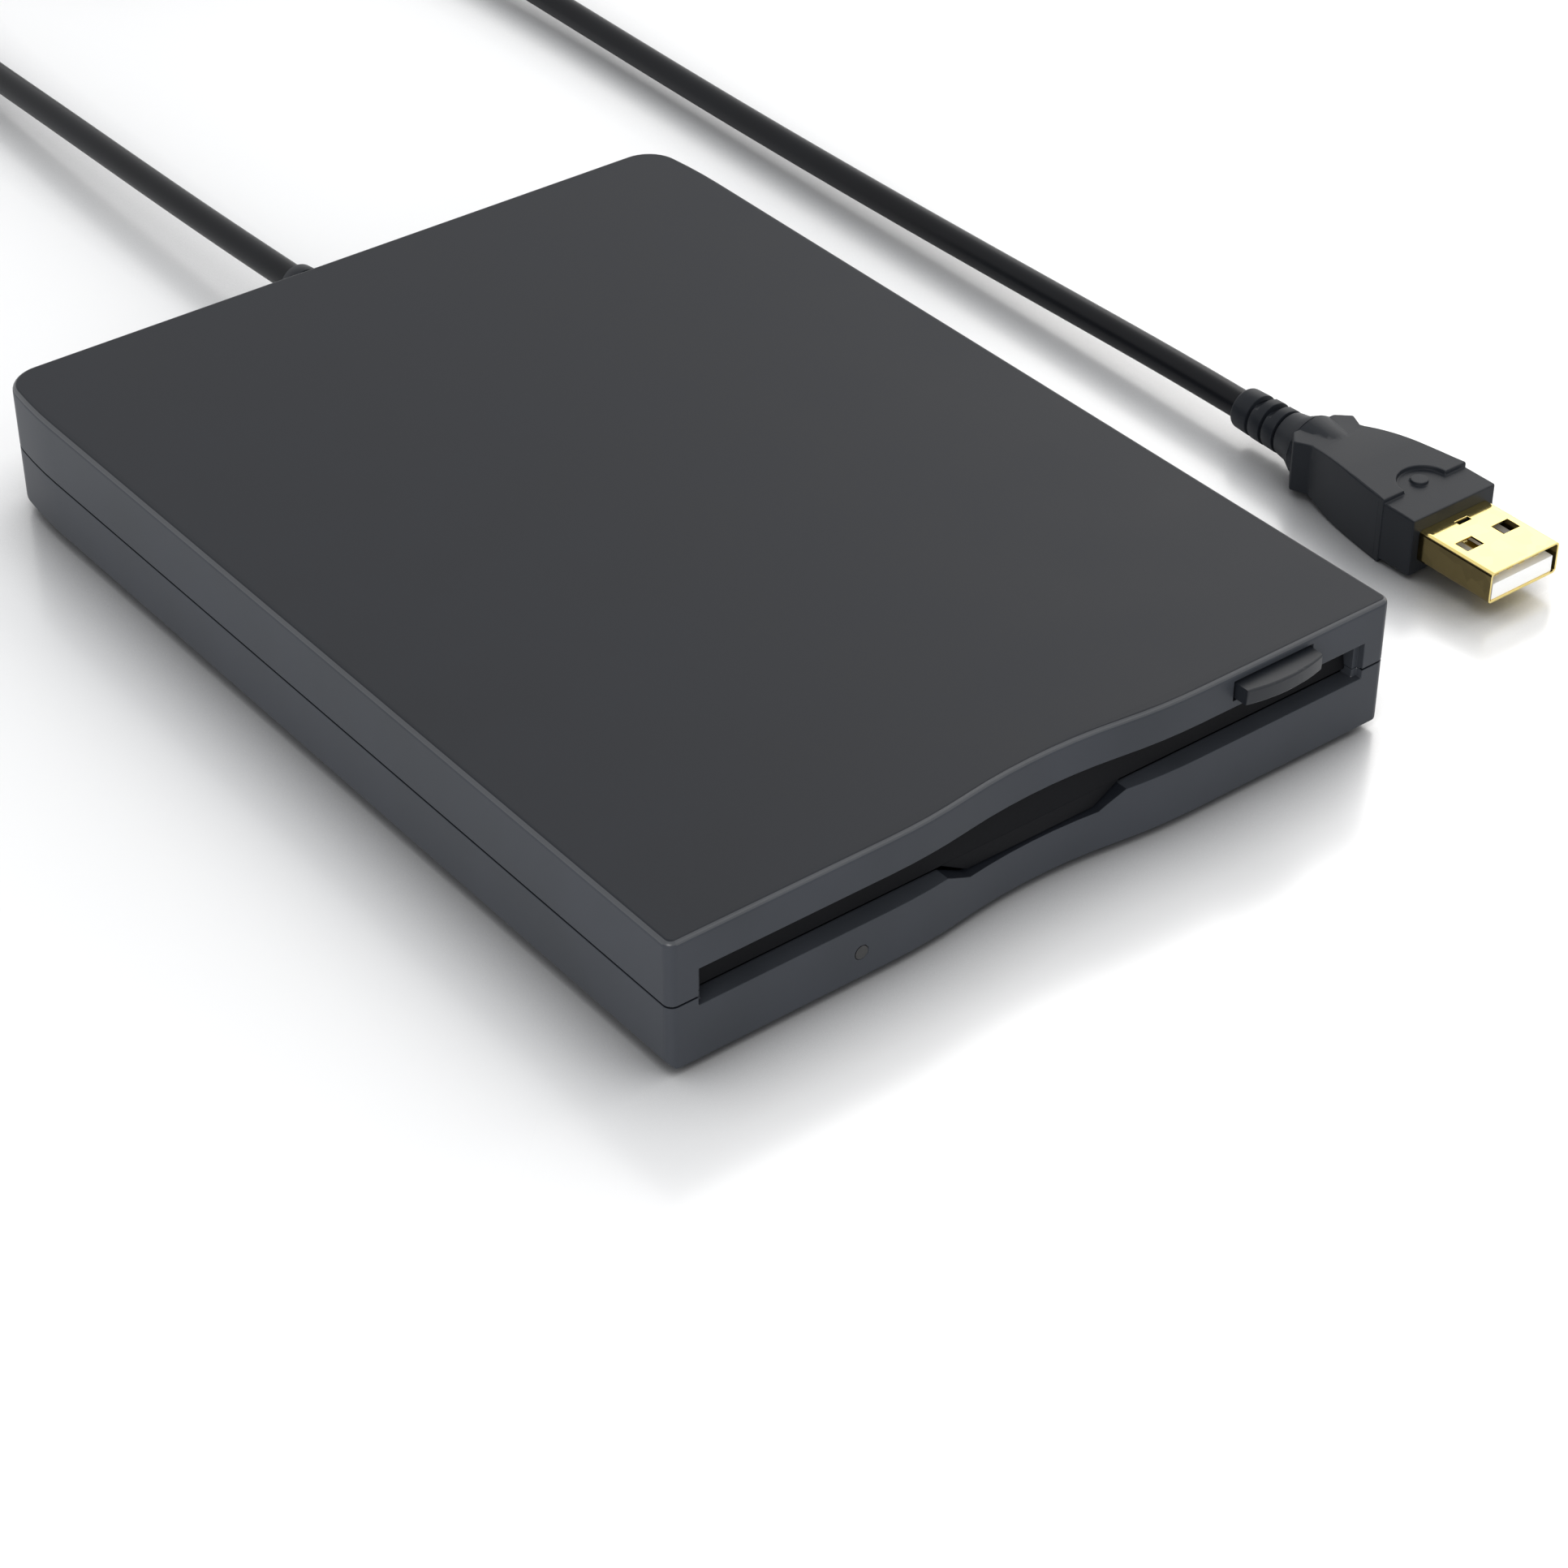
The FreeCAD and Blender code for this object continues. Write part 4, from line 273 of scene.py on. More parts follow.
metal("steel_zinc_plated", "#AEB2B4", "#C6C9CB", 0.3)
metal("steel_nickel_screw", "#A9A8A6", "#BDBCB9", 0.25, flake=1.0)
metal("steel_spring_wire", "#8E9094", "#A6A8AC", 0.22, flake=0.8)
metal("copper_enamelled", "#A5542B", "#C06A38", 0.3, flake=1.0, lines=0.25)
metal("bronze_sintered", "#8F713F", "#AE8C52", 0.45, flake=0.3, lines=0.1, along=(1, 1, 1))
metal("brass_gold_plated", "#E9D388", "#EDD88E", 0.12, flake=2.0, lines=0.08, along=(1, 20, 1))
# Painted dark reflection: a dark brown gold for the plug's side walls, painted in place of what they
# mirror.
metal("brass_gold_sides_painted_dark_reflection", "#64593A", "#6F6341", 0.16, flake=2.0, lines=0.2, along=(1, 12, 1))
print("metals:", sorted(name for name in materials if name.startswith(("st", "co", "br"))))

# %% [markdown]
# ## Circuit board, lamp and window
# A board is glass cloth in epoxy under a green mask, with copper tracks that show through as
# lighter lines. The tracks here run on a 1.27 mm grid, half the old pin spacing. The lamp is clear
# epoxy and the window over it is smoked, so both let light through.

# %% board and clear materials
TRACK_PITCH = 1.27  # mm, the grid that tracks are laid on
WEAVE = 0.3  # mm across one bundle of the board's glass cloth
HAZE = 0.5  # mm across one cloud in a clear moulding
EPOXY_IOR = 1.57


def board_material(name):
    """A green board with the copper tracks under its mask."""
    material, tree, place = start_material(name)
    tracks = add(
        tree,
        "ShaderNodeTexBrick",
        {
            "Vector": place,
            "Scale": 1 / (TRACK_PITCH * MM) / 2,
            "Mortar Size": 0.06,
            "Color1": linear("#0D4A2A"),
            "Color2": linear("#0F5230"),
            "Mortar": linear("#2C7A4A"),
        },
    )
    cloth = noise(tree, place, WEAVE, 2.0)
    bump = add(
        tree,
        "ShaderNodeBump",
        {"Height": tracks.outputs["Fac"], "Strength": 0.5, "Distance": 0.03 * MM},
    )
    shader = add(
        tree,
        "ShaderNodeBsdfPrincipled",
        {
            "Base Color": tracks.outputs["Color"],
            "Roughness": span(tree, cloth.outputs["Fac"], 0.25, 0.4),
            "Normal": bump.outputs["Normal"],
        },
    )
    end_material(tree, shader)
    materials[name] = material


def clear(name, dark, light, through, rough):
    """A clear or smoked plastic, which lets part of the light through."""
    material, tree, place = start_material(name)
    haze = noise(tree, place, HAZE, 2.0)
    shader = add(
        tree,
        "ShaderNodeBsdfPrincipled",
        {
            "Base Color": two_tone(tree, haze.outputs["Fac"], dark, light),
            "Roughness": span(tree, haze.outputs["Fac"], rough, rough + 0.08),
            "IOR": EPOXY_IOR,
            "Transmission Weight": through,
        },
    )
    end_material(tree, shader)
    materials[name] = material


board_material("board_green_mask")
clear("window_smoked", "#0E0F11", "#131416", 0.12, 0.35)
clear("lamp_clear_epoxy", "#C9D8A8", "#DCE8C0", 0.7, 0.08)
print("board and clear materials ready,", len(materials), "materials in all")

# %% [markdown]
# ## Pieces that keep their CAD shape
# A frame piece arrives as loose triangles. A copy is merged into one skin, flat areas are joined
# into single faces, and its sharp edges get a small round, as every moulded or stamped edge has,
# because that is what catches the light. Weighted normals keep the flats flat next to the rounds.

# %% choose the edges to round
SHARP = math.radians(28)  # an edge that turns more than this is a real edge
NEAR = 0.9  # mm round a stray point within which edges stay sharp
NO_LIMIT = 1.0  # m, more than any face here is wide
STRIP_WIDTHS = 6  # how many strips of a rounded corner one round may take up
ROOM = 2.4  # rounds' widths that a face needs before its edge gets the whole round
STRAY = 1.1  # rounds' widths that a point may move before it counts as stray
TRIES = 4
ROUND_STEPS = 2  # facets across one round


def room_beside(loop):
    """How far a round may reach from an edge into a face: to what lies opposite, straight over."""
    start, end = loop.vert.co, loop.link_loop_next.vert.co
    along = (end - start).normalized()
    inward = loop.face.normal.cross(along)
    flat = [((v.co - start).dot(along), (v.co - start).dot(inward)) for v in loop.face.verts]
    sides = list(zip(flat, flat[1:] + flat[:1]))
    reach = [NO_LIMIT]
    for part in (0.25, 0.5, 0.75):
        at = part * (end - start).length
        for (x0, y0), (x1, y1) in sides:
            if (x0 - at) * (x1 - at) < 0:
                over = y0 + (y1 - y0) * (at - x0) / (x1 - x0)
                reach.append(over if over > 1e-8 else NO_LIMIT)
    if len(sides) == 4:  # one strip of a rounded corner, which shrinks as its ends are rounded
        longest = max(side.calc_length() for side in loop.face.edges)
        reach.append(STRIP_WIDTHS * loop.face.calc_area() / longest)
    return min(reach)


def mark_edges(mesh, round_mm, keep_sharp):
    """Weights the sharp edges for the bevel, less where a face beside one has little room."""
    skin = bmesh.new()
    skin.from_mesh(mesh)
    weight = skin.edges.layers.float.new("bevel_weight_edge")
    for edge in skin.edges:
        if len(edge.link_faces) != 2 or edge.calc_face_angle() <= SHARP:
            continue
        ends = [vertex.co for vertex in edge.verts]
        if any((end - spot).length < NEAR * MM for end in ends for spot in keep_sharp):
            continue
        room = min(room_beside(loop) for loop in edge.link_loops)
        edge[weight] = min(1.0, room / (ROOM * round_mm * MM))
    skin.to_mesh(mesh)
    skin.free()


def round_edges(piece, round_mm):
    """Rounds the edges. Where three edges crowd together the bevel can shoot past the piece, so
    the edges round any such stray point stay sharp, and the piece is rounded again."""
    whole = piece.data.copy()
    skin = BVHTree.FromPolygons(
        [vertex.co for vertex in whole.vertices], [face.vertices for face in whole.polygons]
    )
    keep_sharp = []
    for _ in range(TRIES):
        mark_edges(piece.data, round_mm, keep_sharp)
        edge = piece.modifiers.new("edge_round", "BEVEL")
        edge.width = round_mm * MM
        edge.segments = ROUND_STEPS
        edge.limit_method = "WEIGHT"
        edge.use_clamp_overlap = False
        settle(piece)
        nearest = [skin.find_nearest(vertex.co) for vertex in piece.data.vertices]
        strays = [found[0] for found in nearest if found[3] > STRAY * round_mm * MM]
        if not strays:
            return
        keep_sharp += strays
        piece.data = whole.copy()
    print("left sharp:", piece.name)


# %% [markdown]
# A flat face can't run all the way round a hole, so it is held together by an edge from the hole
# to its rim. A slanting edge there would spoil the rounding, so those pieces are first cut
# straight through the middle of the hole, and the cut is kept as a seam.

# %% cut a piece through the middle of its holes
split_at = {
    "plug_shell": [("x", 83.8)],
    "plug_overmould": [("x", 83.8)],
    "eject_button": [("x", 33.4)],
    "front_door": [("z", 13.9)],
    "head_carriage": [("z", 11.0)],
    "upper_head_arm": [("z", 11.0)],
}


def split(mesh, axis, at):
    """Cuts every face at this height along an axis, in mm, and marks the cut as a seam."""
    skin = bmesh.new()
    skin.from_mesh(mesh)
    across = Vector([axis == letter for letter in "xyz"])
    everything = [*skin.verts, *skin.edges, *skin.faces]
    cut = bmesh.ops.bisect_plane(
        skin, geom=everything, dist=1e-7, plane_co=across * at * MM, plane_no=across
    )
    for part in cut["geom_cut"]:
        if isinstance(part, bmesh.types.BMEdge):
            part.seam = True
    skin.to_mesh(mesh)
    skin.free()


# %% finish a copy of a frame piece
SAME_FACE = math.radians(0.5)  # faces that turn less than this lie in one plane


def finished(node, material, round_mm):
    """A merged, edge-rounded copy of one frame piece, which stands for it and rides with it."""
    source = frame["nodes"][node]
    piece = bpy.data.objects.new(f"{node}_finish", source.data.copy())
    bpy.context.scene.collection.objects.link(piece)
    piece.data.materials.clear()
    piece.data.materials.append(materials[material])
    take(piece)
    bpy.ops.object.mode_set(mode="EDIT")
    bpy.ops.mesh.select_all(action="SELECT")
    bpy.ops.mesh.remove_doubles(threshold=SAME_PLACE * MM)
    bpy.ops.object.mode_set(mode="OBJECT")
    for axis, at in split_at.get(node, []):
        split(piece.data, axis, at)
    take(piece)
    bpy.ops.object.mode_set(mode="EDIT")
    bpy.ops.mesh.select_all(action="SELECT")
    bpy.ops.mesh.dissolve_limited(angle_limit=SAME_FACE, delimit={"SEAM"})
    bpy.ops.object.mode_set(mode="OBJECT")
    if round_mm:
        round_edges(piece, round_mm)
    bpy.ops.object.shade_smooth_by_angle(angle=SHARP)
    weighted = piece.modifiers.new("flat_normals", "WEIGHTED_NORMAL")
    weighted.keep_sharp = True
    settle(piece)
    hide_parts(node)
    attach(piece, source["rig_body"])
    return piece


finishes = {
    "bottom_shell": ("abs_charcoal_grained", "case_plastic", 0.12),
    "top_shell": ("abs_charcoal_grained", "case_plastic", 0.12),
    "rubber_feet": ("rubber_foot", "rubber", 0.2),
    "case_screws": ("steel_nickel_screw", "screw_steel", 0.05),
    "lamp_window": ("window_smoked", "window_plastic", 0.0),
    "lamp_led": ("lamp_clear_epoxy", "led_body", 0.0),
    "front_door": ("abs_grained_door", "door_plastic", 0.08),
    "door_spring": ("steel_spring_wire", "spring_steel", 0.0),
    "eject_button": ("abs_charcoal_button", "button_plastic", 0.15),
    "eject_slider": ("steel_zinc_plated", "zinc_steel", 0.06),
    "slider_springs": ("steel_spring_wire", "spring_steel", 0.0),
    "disk_carrier": ("steel_zinc_plated", "zinc_steel", 0.05),
    "carrier_pins": ("steel_nickel_screw", "screw_steel", 0.05),
    "chassis": ("steel_zinc_plated", "zinc_steel", 0.05),
    "chassis_cover": ("steel_zinc_plated", "zinc_steel", 0.05),
    "chassis_screws": ("steel_nickel_screw", "screw_steel", 0.05),
    "disk_seat_pins": ("steel_nickel_screw", "screw_steel", 0.05),
    "spindle_stator": ("copper_enamelled", "copper", 0.04),
    "spindle_bearing": ("bronze_sintered", "bronze", 0.05),
    "spindle_rotor": ("steel_zinc_plated", "zinc_steel", 0.06),
    "spindle_hub": ("steel_nickel_screw", "screw_steel", 0.05),
    "head_carriage": ("acetal_natural", "carriage_plastic", 0.06),
    "lower_head": ("ferrite_ceramic", "ceramic", 0.03),
    "upper_head_arm": ("acetal_natural", "carriage_plastic", 0.05),
    "upper_head": ("ferrite_ceramic", "ceramic", 0.03),
    "gimbal_spring": ("steel_spring_wire", "spring_steel", 0.0),
    "guide_rods": ("steel_nickel_screw", "screw_steel", 0.08),
    "stepper_motor": ("steel_zinc_plated", "zinc_steel", 0.08),
    "lead_screw": ("steel_nickel_screw", "screw_steel", 0.0),
    "track_zero_sensor": ("epoxy_black", "black_plastic", 0.05),
    "shutter_lever": ("steel_zinc_plated", "zinc_steel", 0.04),
    "lever_post": ("steel_nickel_screw", "screw_steel", 0.04),
    "lever_spring": ("steel_spring_wire", "spring_steel", 0.0),
    "write_protect_plunger": ("acetal_natural", "carriage_plastic", 0.04),
    "density_plunger": ("acetal_natural", "carriage_plastic", 0.04),
    "disk_in_plunger": ("acetal_natural", "carriage_plastic", 0.04),
    "switch_housings": ("epoxy_black", "black_plastic", 0.05),
    "drive_board": ("board_green_mask", "circuit_board", 0.0),
    "drive_chips": ("epoxy_black", "black_plastic", 0.05),
    "usb_board": ("board_green_mask", "circuit_board", 0.0),
    "bridge_chip": ("epoxy_black", "black_plastic", 0.05),
    "crystal": ("steel_nickel_screw", "screw_steel", 0.05),
    "cord_header": ("nylon_white", "connector_plastic", 0.05),
    "cord_leads": ("copper_enamelled", "copper", 0.0),
    "ribbon_cable": ("nylon_white", "connector_plastic", 0.0),
    "ribbon_plugs": ("nylon_white", "connector_plastic", 0.05),
    "plug_overmould": ("pvc_plug_moulding", "cord_plastic", 0.25),
    "plug_shell": ("brass_gold_plated", "gold_plate", 0.06),
    "plug_insulator": ("pbt_white", "insulator_plastic", 0.08),
    "plug_contacts": ("brass_gold_plated", "gold_plate", 0.03),
}
pieces = {}
for node, (material, slot_name, round_mm) in finishes.items():
    pieces[node] = finished(node, material, round_mm)
print("finished", len(pieces), "pieces")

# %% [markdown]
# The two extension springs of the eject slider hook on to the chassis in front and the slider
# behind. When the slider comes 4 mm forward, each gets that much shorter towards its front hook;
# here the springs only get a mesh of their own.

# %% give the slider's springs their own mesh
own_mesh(pieces["slider_springs"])

# %% [markdown]
# The walls of the case slide along the steel as the moulding is pushed out of its mould, so a
# mould maker gives them a finer, shinier grain than the flat top, and here they are also painted a
# lighter colour than the top: painted light. Rounded edges lose their grain first, under the
# polisher's stone and later under hands, and are painted lighter as well, a painted highlight that
# draws a thin line of light. The slot's shelf is painted paler: painted light in its shade. On the
# plug the side walls are painted a dark brown gold: a painted dark reflection.

# %% four materials on one moulding: a grained top, and walls, edges and shelf with painted light
FLAT = math.sin(math.radians(62))  # a face whose normal rises more than this lies flat
STEEP = math.sin(math.radians(25))  # and one that rises less than this stands upright
SHELF = 8.2  # mm above the table, the slot's floor
SHELF_BACK = -66.0  # mm, y of the shelf's rear edge
for name in ("top_shell", "bottom_shell"):
    shell = pieces[name].data
    for finish in ("abs_charcoal_walls_painted_light", "abs_charcoal_edge_wear_and_painted_highlight", "abs_charcoal_shelf_painted_light"):
        shell.materials.append(materials[finish])
    # Upright faces get the walls' painted light, sloping edge faces the painted highlight, the shelf faces
    # its painted light.
    for face in shell.polygons:
        rise = abs(face.normal.z)
        if rise > FLAT:
            level = abs(face.center.z - SHELF * MM) < 0.05 * MM
            on_shelf = level and face.center.y < SHELF_BACK * MM
            face.material_index = 3 if on_shelf else 0
        elif rise > STEEP:
            face.material_index = 2
        else:
            face.material_index = 1
    counts = [sum(face.material_index == i for face in shell.polygons) for i in range(4)]
    print(name, "flat, wall, rubbed and scuffed faces:", counts)

# %% the plug's side walls, with a painted dark reflection
SIDEWAYS = 0.8  # a face whose normal leans more than this to the side is a side wall
shell = pieces["plug_shell"].data
shell.materials.append(materials["brass_gold_sides_painted_dark_reflection"])
# The plug's side walls get the painted dark reflection.
for face in shell.polygons:
    face.material_index = int(abs(face.normal.x) > SIDEWAYS)
print("worn faces on the plug:", sum(face.material_index for face in shell.polygons))

# %% [markdown]
# ## Boots on the cord
# A cord breaks where it is bent most, right at its ends. So a soft boot is moulded over it there:
# rings joined by thin webs, which let it bend a little at each gap. A boot is round, so it is
# turned: a circle is drawn round the cord, and each further ring of its outline is extruded from
# the last one and then resized. Its windows are cut afterwards, from above and from below.

# %% turn a ring-shaped moulding
def turned(name, centre, outline, round_mm, sides=56):
    """A closed ring about a line along Y, from its outline's (y, radius) corners in mm."""
    x, z = centre
    deselect_all()
    y, radius = outline[0]
    bpy.ops.mesh.primitive_circle_add(
        vertices=sides, radius=radius * MM, location=mm(x, y, z), rotation=(math.pi / 2, 0, 0)
    )
    piece = bpy.context.object
    piece.name = name
    bpy.ops.object.transform_apply(location=True, rotation=True, scale=True)
    bpy.ops.object.mode_set(mode="EDIT")
    bpy.ops.mesh.select_all(action="SELECT")
    for (y, radius), (next_y, next_radius) in zip(outline, outline[1:] + outline[:1]):
        bpy.ops.mesh.extrude_region_move(TRANSFORM_OT_translate={"value": mm(0, next_y - y, 0)})
        grow = next_radius / radius
        bpy.ops.transform.resize(value=(grow, 1, grow), center_override=mm(x, next_y, z))
    bpy.ops.mesh.select_all(action="SELECT")
    bpy.ops.mesh.remove_doubles(threshold=SAME_PLACE * MM)
    bpy.ops.mesh.normals_make_consistent(inside=False)
    bpy.ops.object.mode_set(mode="OBJECT")
    edge = piece.modifiers.new("edge_round", "BEVEL")
    edge.width = round_mm * MM
    edge.segments = ROUND_STEPS
    edge.limit_method = "ANGLE"
    edge.angle_limit = SHARP
    settle(piece)
    return piece


def ribbed(start, step, rings):
    """The outline of a row of rings: each is (length, radius at each end), with its gap after."""
    corners, y = [], start
    for long, first, last, gap, core in rings:
        corners += [(y, core), (y, first), (y + step * long, last), (y + step * long, core)]
        y += step * (long + gap)
    return corners


CUTTER_TALL = 4.0  # mm, enough to reach out of the widest ring


def cut_windows(piece, centre, rows, wide, deep_from):
    """Cuts windows through a boot's rings from above and from below, at (y, length) rows."""
    x, z = centre
    for number, (y, long) in enumerate(rows):
        for side in (1, -1):
            deselect_all()
            middle = mm(x, y, z + side * (deep_from + CUTTER_TALL / 2))
            bpy.ops.mesh.primitive_cube_add(size=1.0, location=middle)
            cutter = bpy.context.object
            cutter.scale = mm(wide, long, CUTTER_TALL)
            bpy.ops.object.transform_apply(location=True, rotation=True, scale=True)
            take(piece)
            cut = piece.modifiers.new(f"window_{number}_{side}", "BOOLEAN")
            cut.operation = "DIFFERENCE"
            cut.object = cutter
            cut.solver = "EXACT"
            settle(piece)
            bpy.data.objects.remove(cutter)


def finish_boot(piece, node):
    """Gives a turned piece its plastic, its smooth shading and its place on the frame."""
    piece.data.materials.append(materials["pvc_plug_moulding"])
    take(piece)
    bpy.ops.object.shade_smooth_by_angle(angle=SHARP)
    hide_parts(node)
    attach(piece, frame["nodes"][node]["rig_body"])
    pieces[node] = piece


print("turning helpers ready")

# %% the strain relief on the drive's rear wall
EXIT = (0.5, 7.8)  # mm, x and z of the cord where it leaves the drive
BORE = 2.03  # mm, the hole round the cord
in_wall = [(68.65, BORE), (68.65, 2.4), (69.45, 2.4), (69.45, 3.6), (70.85, 3.6), (70.85, 2.5)]
tail = ribbed(
    72.85,
    1,
    [
        (2.0, 3.7, 3.65, 0.55, 2.5),
        (1.6, 3.6, 3.52, 0.55, 2.5),
        (1.6, 3.47, 3.37, 0.55, 2.45),
        (1.6, 3.32, 3.2, 0.55, 2.4),
        (1.6, 3.15, 3.02, 0.55, 2.4),
        (2.45, 2.95, 2.7, 0.0, BORE),
    ],
)
relief = turned("strain_relief_ribbed", EXIT, in_wall + tail, 0.14)
cut_windows(relief, EXIT, [(76.0, 1.0), (80.3, 1.0)], 4.2, 2.35)
finish_boot(relief, "rear_strain_relief")
print("strain relief", len(relief.data.polygons), "faces")

# %% the boot on the plug
PLUG = (83.8, 4.65)  # mm, x and z of the plug's middle line
plug_end = [(-13.2, BORE), (-13.2, 2.62), (-13.5, 2.85), (-16.15, 2.95), (-16.25, 2.3)]
rings = ribbed(-16.7, -1, [(2.05, 3.0, 3.05, 0.45, 2.3), (2.05, 3.02, 3.06, 0.45, 2.3)])
neck = [(-21.7, 3.05), (-23.6, 3.35), (-25.6, 4.4), (-25.6, BORE)]
boot = turned("plug_boot_ribbed", PLUG, plug_end + rings + neck, 0.16)
cut_windows(boot, PLUG, [(-16.85, 1.15), (-19.35, 1.15)], 4.0, 2.1)
finish_boot(boot, "plug_boot")
print("plug boot", len(boot.data.polygons), "faces")

# %% [markdown]
# ## The strap round the coil
# A soft strap keeps the put-away turns together. It is a flat band round the two passes that lie
# on each other at the far side of the coil. It is turned as a tight ring round one cord, its two
# halves are then moved apart by a cord's width, and the loop is swung to its place.

# %% the strap
CORD = 2.0  # mm, the cord's radius
COIL = (58.5, 232.0, 22.0)  # mm, the coil's middle and its radius
TIE_AT = 228.0  # degrees round the coil
FIT, BAND = 2.01, 0.36  # mm, the strap's inner radius round one cord, and its thickness
LOWER = (21.86, CORD + BAND)  # mm, the lower pass there: from the coil's axis, and its height
UPPER = (20.08, 5.58 + BAND)
band = [(-2.7, FIT), (-2.7, FIT + BAND), (2.7, FIT + BAND), (2.7, FIT)]
strap = turned("coil_strap", (0.0, 0.0), band, 0.12)
for vertex in strap.data.vertices:
    if abs(vertex.co.x) > 0.01 * MM:
        vertex.co.x += math.copysign(CORD * MM, vertex.co.x)
turn = math.radians(TIE_AT)
lean = math.atan2(LOWER[1] - UPPER[1], UPPER[0] - LOWER[0])
out, high = (LOWER[0] + UPPER[0]) / 2, (LOWER[1] + UPPER[1]) / 2
place = mm(COIL[0] + out * math.cos(turn), COIL[1] + out * math.sin(turn), high)
swing = Matrix.Rotation(turn, 4, "Z") @ Matrix.Rotation(lean, 4, "Y")
strap.data.transform(Matrix.Translation(place) @ swing)
finish_boot(strap, "cord_tie")
print("strap at", tuple(round(v / MM, 1) for v in place))

# %% [markdown]
# ## The cord
# The cord is a 4 mm round lead, 0.745 m long. It leaves the rear strain relief level, sinks to the
# floor, is wound into a small put-away coil of two and a third turns behind the drive, and runs
# forward beside it to the plug. One curve through its whole route keeps it one smooth piece. In
# the coil each turn lies against the next one: the three passes stand as a triangle, and the
# triangle turns by a third on the way round, so that a pass climbs from the floor on to the others.

# %% route of the cord
NEST = 2 * CORD / math.sqrt(3)  # from the bundle's middle to each pass of three
ENTER, LEAVE = 111.0, 0.0  # degrees round the coil
SWEEP = ENTER - LEAVE + 2 * 360
FIRST_PASS, NEXT_PASS = 330.0, 120.0  # degrees round the bundle: the first pass, and from each to the next
out_of_drive = [
    (0.5, 86.0, 7.8),
    (0.35, 96.0, 7.5),
    (0.25, 108.0, 7.1),
    (0.35, 129.0, 6.4),
    (0.75, 158.0, 5.4),
    (1.2, 182.0, 4.2),
    (2.6, 202.0, 3.1),
    (7.5, 219.5, 2.4),
    (17.5, 235.0, 2.1),
    (31.5, 247.5, 2.05),
]
to_plug = [
    (82.2, 219.0, 5.3),
    (82.9, 203.0, 4.7),
    (83.6, 180.0, 4.0),
    (84.0, 153.0, 3.5),
    (83.8, 127.0, 3.3),
    (83.3, 97.0, 3.4),
    (83.3, 59.0, 3.7),
    (83.8, 25.0, 4.1),
    (83.9, 6.0, 4.5),
    (83.85, -5.0, 4.65),
    (83.8, -14.0, 4.65),
]


def coil_point(swept):
    """A point on the coil after so many degrees, with its pass nested in the bundle."""
    angle = math.radians(ENTER - swept)
    turn, part = divmod(swept, 360.0)
    climb = min(max((part - (ENTER - LEAVE)) / (360.0 - ENTER + LEAVE), 0.0), 1.0)
    nest = math.radians(FIRST_PASS - NEXT_PASS * (turn + climb))
    floor_nest = math.radians(FIRST_PASS - NEXT_PASS * climb)
    lift = CORD + BAND - NEST * math.sin(floor_nest)  # the strap holds it just off the table
    radius = COIL[2] + NEST * math.cos(nest)
    return (
        COIL[0] + radius * math.cos(angle),
        COIL[1] + radius * math.sin(angle),
        lift + NEST * math.sin(nest),
    )


PER_TURN = 24
coil_steps = round(SWEEP / 360 * PER_TURN)
in_coil = [coil_point(SWEEP * i / coil_steps) for i in range(coil_steps + 1)]
route = out_of_drive + in_coil + to_plug
print("route has", len(route), "points,", len(in_coil), "of them in the coil")

# %% the cord as one curve
curve = bpy.data.curves.new("cord_run", "CURVE")
curve.dimensions = "3D"
curve.resolution_u = 6
curve.bevel_depth = CORD * MM
curve.bevel_resolution = 6
line = curve.splines.new("NURBS")
line.points.add(len(route) - 1)
for point, place in zip(line.points, route):
    point.co = (*mm(*place), 1.0)
line.order_u = 4
line.use_endpoint_u = True
cord = bpy.data.objects.new("cord_run", curve)
bpy.context.scene.collection.objects.link(cord)
cord.data.materials.append(materials["pvc_cord_satin"])


def curve_length(spline_points):
    """The length of a smooth cubic B-spline through these control points, in mm."""
    pts = [Vector(p) for p in spline_points]
    pts = [pts[0]] * 2 + pts + [pts[-1]] * 2
    total, last = 0.0, None
    for a, b, c, d in zip(pts, pts[1:], pts[2:], pts[3:]):
        for k in range(8):
            t = k / 8
            w = ((1 - t) ** 3, 3 * t**3 - 6 * t**2 + 4, -3 * t**3 + 3 * t**2 + 3 * t + 1, t**3)
            at = (a * w[0] + b * w[1] + c * w[2] + d * w[3]) / 6
            total += (at - last).length if last is not None else 0.0
            last = at
    return total


cord_length = curve_length(route)
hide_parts("drive_cord", "cord_coil", "plug_cord")
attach(cord, "case")
print("cord length", round(cord_length), "mm")

# %% [markdown]
# ## Floor and light
# The drive lies on a glossy white sheet, like white acrylic: it scatters light, and its polished
# skin also mirrors what stands on it, blurred a little more with distance. Its colour is painted
# grey close to what stands on it, a painted contact shadow. The room is an even white. A wide soft
# lamp to the right and behind glides over the top and brightens its right side, one to the front
# left fills the walls, and a narrow one draws a line along the front edges.

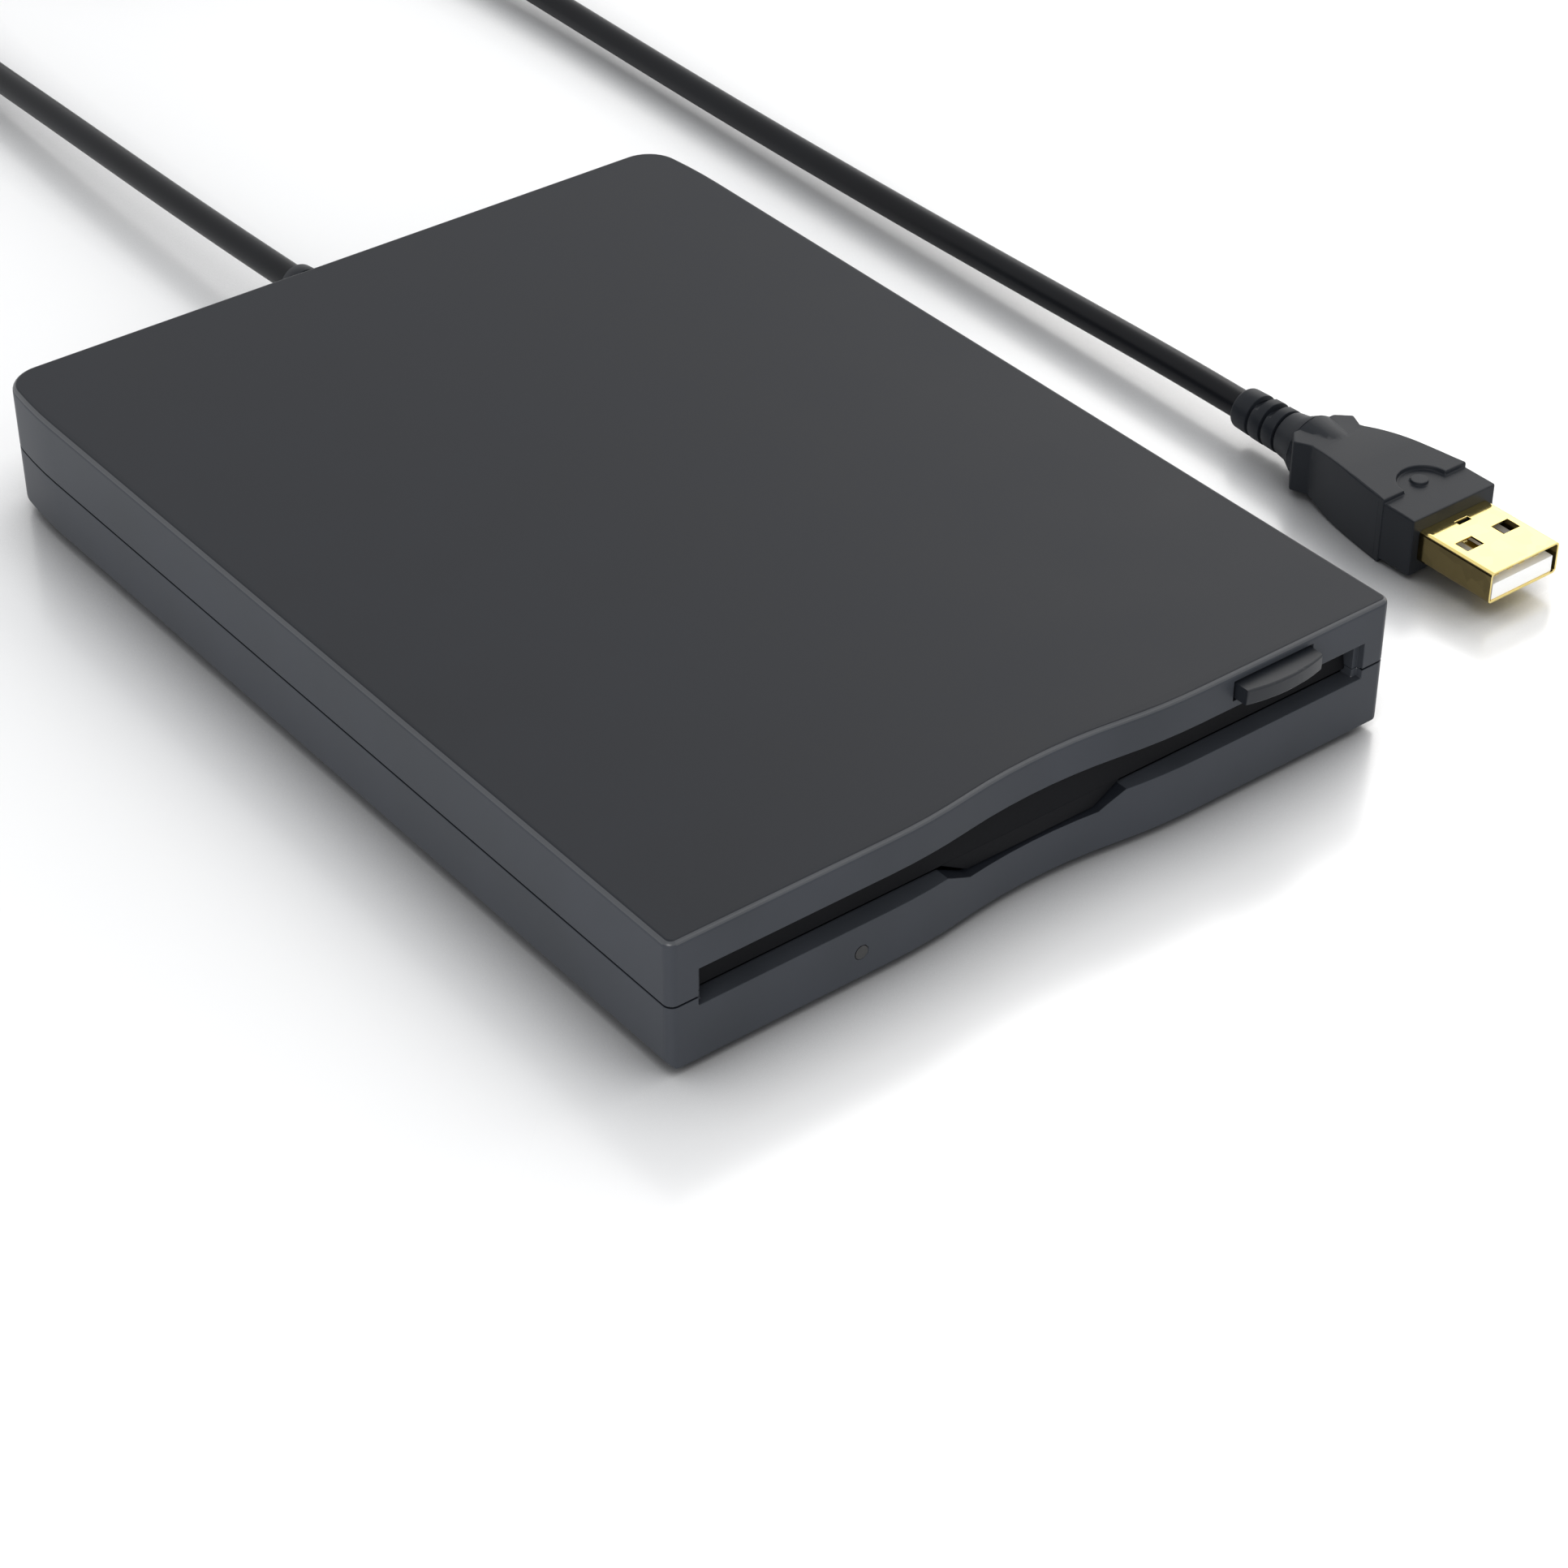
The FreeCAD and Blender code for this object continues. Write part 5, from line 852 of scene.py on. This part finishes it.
# %% the floor
def floor_with_painted_contact_shadow():
    """White acrylic: a matt body with a painted contact shadow, grey near what stands on it, a haze and a
    clear skin.
    """
    material, tree, place = start_material("acrylic_white_floor_painted_contact_shadow")
    smear = add(tree, "ShaderNodeTexNoise", {"Vector": place, "Scale": 6.0, "Detail": 1.0})
    # Painted contact shadow: ambient occlusion within 11 mm turns the floor's colour from white to grey.
    near = add(tree, "ShaderNodeAmbientOcclusion", {"Distance": 11 * MM}, samples=8)
    tone = two_tone(tree, near.outputs["AO"], "#6A6B6E", "#FBFBFB", 0.3, 0.97)
    layer = add(tree, "ShaderNodeBsdfDiffuse", {"Color": tone})
    for weight, rough in ((0.2, 0.42), (0.11, 0.17)):
        roughness = span(tree, smear.outputs["Fac"], rough, rough + 0.04)
        mirror = add(tree, "ShaderNodeBsdfGlossy", {"Color": linear("#FFFFFF"), "Roughness": roughness})
        layer = add(tree, "ShaderNodeMixShader", {0: weight, 1: layer.outputs[0], 2: mirror.outputs[0]})
    add(tree, "ShaderNodeOutputMaterial", {"Surface": layer.outputs[0]})
    return material


deselect_all()
bpy.ops.mesh.primitive_plane_add(size=6.0, location=(0.0, 0.0, 0.0))
floor = bpy.context.object
floor.name = "studio_floor"
floor.data.materials.append(floor_with_painted_contact_shadow())
print("floor", floor.dimensions.x, "m wide")

# %% the room's light
world = bpy.data.worlds.new("white_room")
bpy.context.scene.world = world
world.use_nodes = True
room = world.node_tree
room.nodes.clear()
rays = add(room, "ShaderNodeLightPath").outputs
seen = add(
    room,
    "ShaderNodeMath",
    {0: rays["Is Camera Ray"], 1: rays["Is Glossy Ray"]},
    operation="MAXIMUM",
)
seen = add(
    room, "ShaderNodeMath", {0: seen.outputs[0], 1: rays["Is Transmission Ray"]}, operation="MAXIMUM"
)
soft = add(room, "ShaderNodeBackground", {"Color": linear("#F7F9FC"), "Strength": 0.76})
white = add(room, "ShaderNodeBackground", {"Color": linear("#FFFFFF"), "Strength": 1.0})
both = add(room, "ShaderNodeMixShader", {0: seen.outputs[0], 1: soft.outputs[0], 2: white.outputs[0]})
add(room, "ShaderNodeOutputWorld", {"Surface": both.outputs[0]})


def soft_lamp(name, place, wide, tall, watts, colour="#FFFDFA"):
    """A rectangular lamp behind a diffuser, aimed at the middle of the drive."""
    light = bpy.data.lights.new(name, "AREA")
    light.shape = "RECTANGLE"
    light.size, light.size_y = wide, tall
    light.energy = watts
    light.color = linear(colour)[:3]
    lamp = bpy.data.objects.new(name, light)
    bpy.context.scene.collection.objects.link(lamp)
    lamp.location = place
    lamp.rotation_euler = (mm(0, 0, 10) - lamp.location).to_track_quat("-Z", "Y").to_euler()
    return lamp


soft_lamp("window_lamp", (0.74, 0.18, 0.52), 1.0, 0.7, 3.2)
soft_lamp("front_edge_strip", (0.47, -0.58, 0.61), 0.5, 0.14, 0.4)
soft_lamp("left_fill", (-0.7, -0.5, 0.45), 0.6, 0.5, 3.8)
bpy.context.scene.view_settings.view_transform = "Standard"
print("room and lamps ready")

# %% [markdown]
# ## Camera
# A long lens from the front left and above shows the top, the waved front and the left side in one
# view, and keeps the box's edges nearly parallel, as a catalogue picture does.

# %% the camera
CAMERA_AT = (-226.95, -314.81, 263.56)  # mm
AZIMUTH, ELEVATION = 37.825, 36.793  # degrees to the right of +Y, and down
SENSOR, FOCAL = 36.0, 87.184  # mm
lens = bpy.data.cameras.new("catalogue_camera")
lens.sensor_width = SENSOR
lens.lens = FOCAL
lens.clip_start = 0.01
camera = bpy.data.objects.new("catalogue_camera", lens)
bpy.context.scene.collection.objects.link(camera)
camera.location = mm(*CAMERA_AT)
camera.rotation_euler = (math.radians(90 - ELEVATION), 0.0, -math.radians(AZIMUTH))
bpy.context.scene.camera = camera
print("camera at", tuple(round(v, 3) for v in camera.location))

# %% finish
bpy.context.view_layer.update()
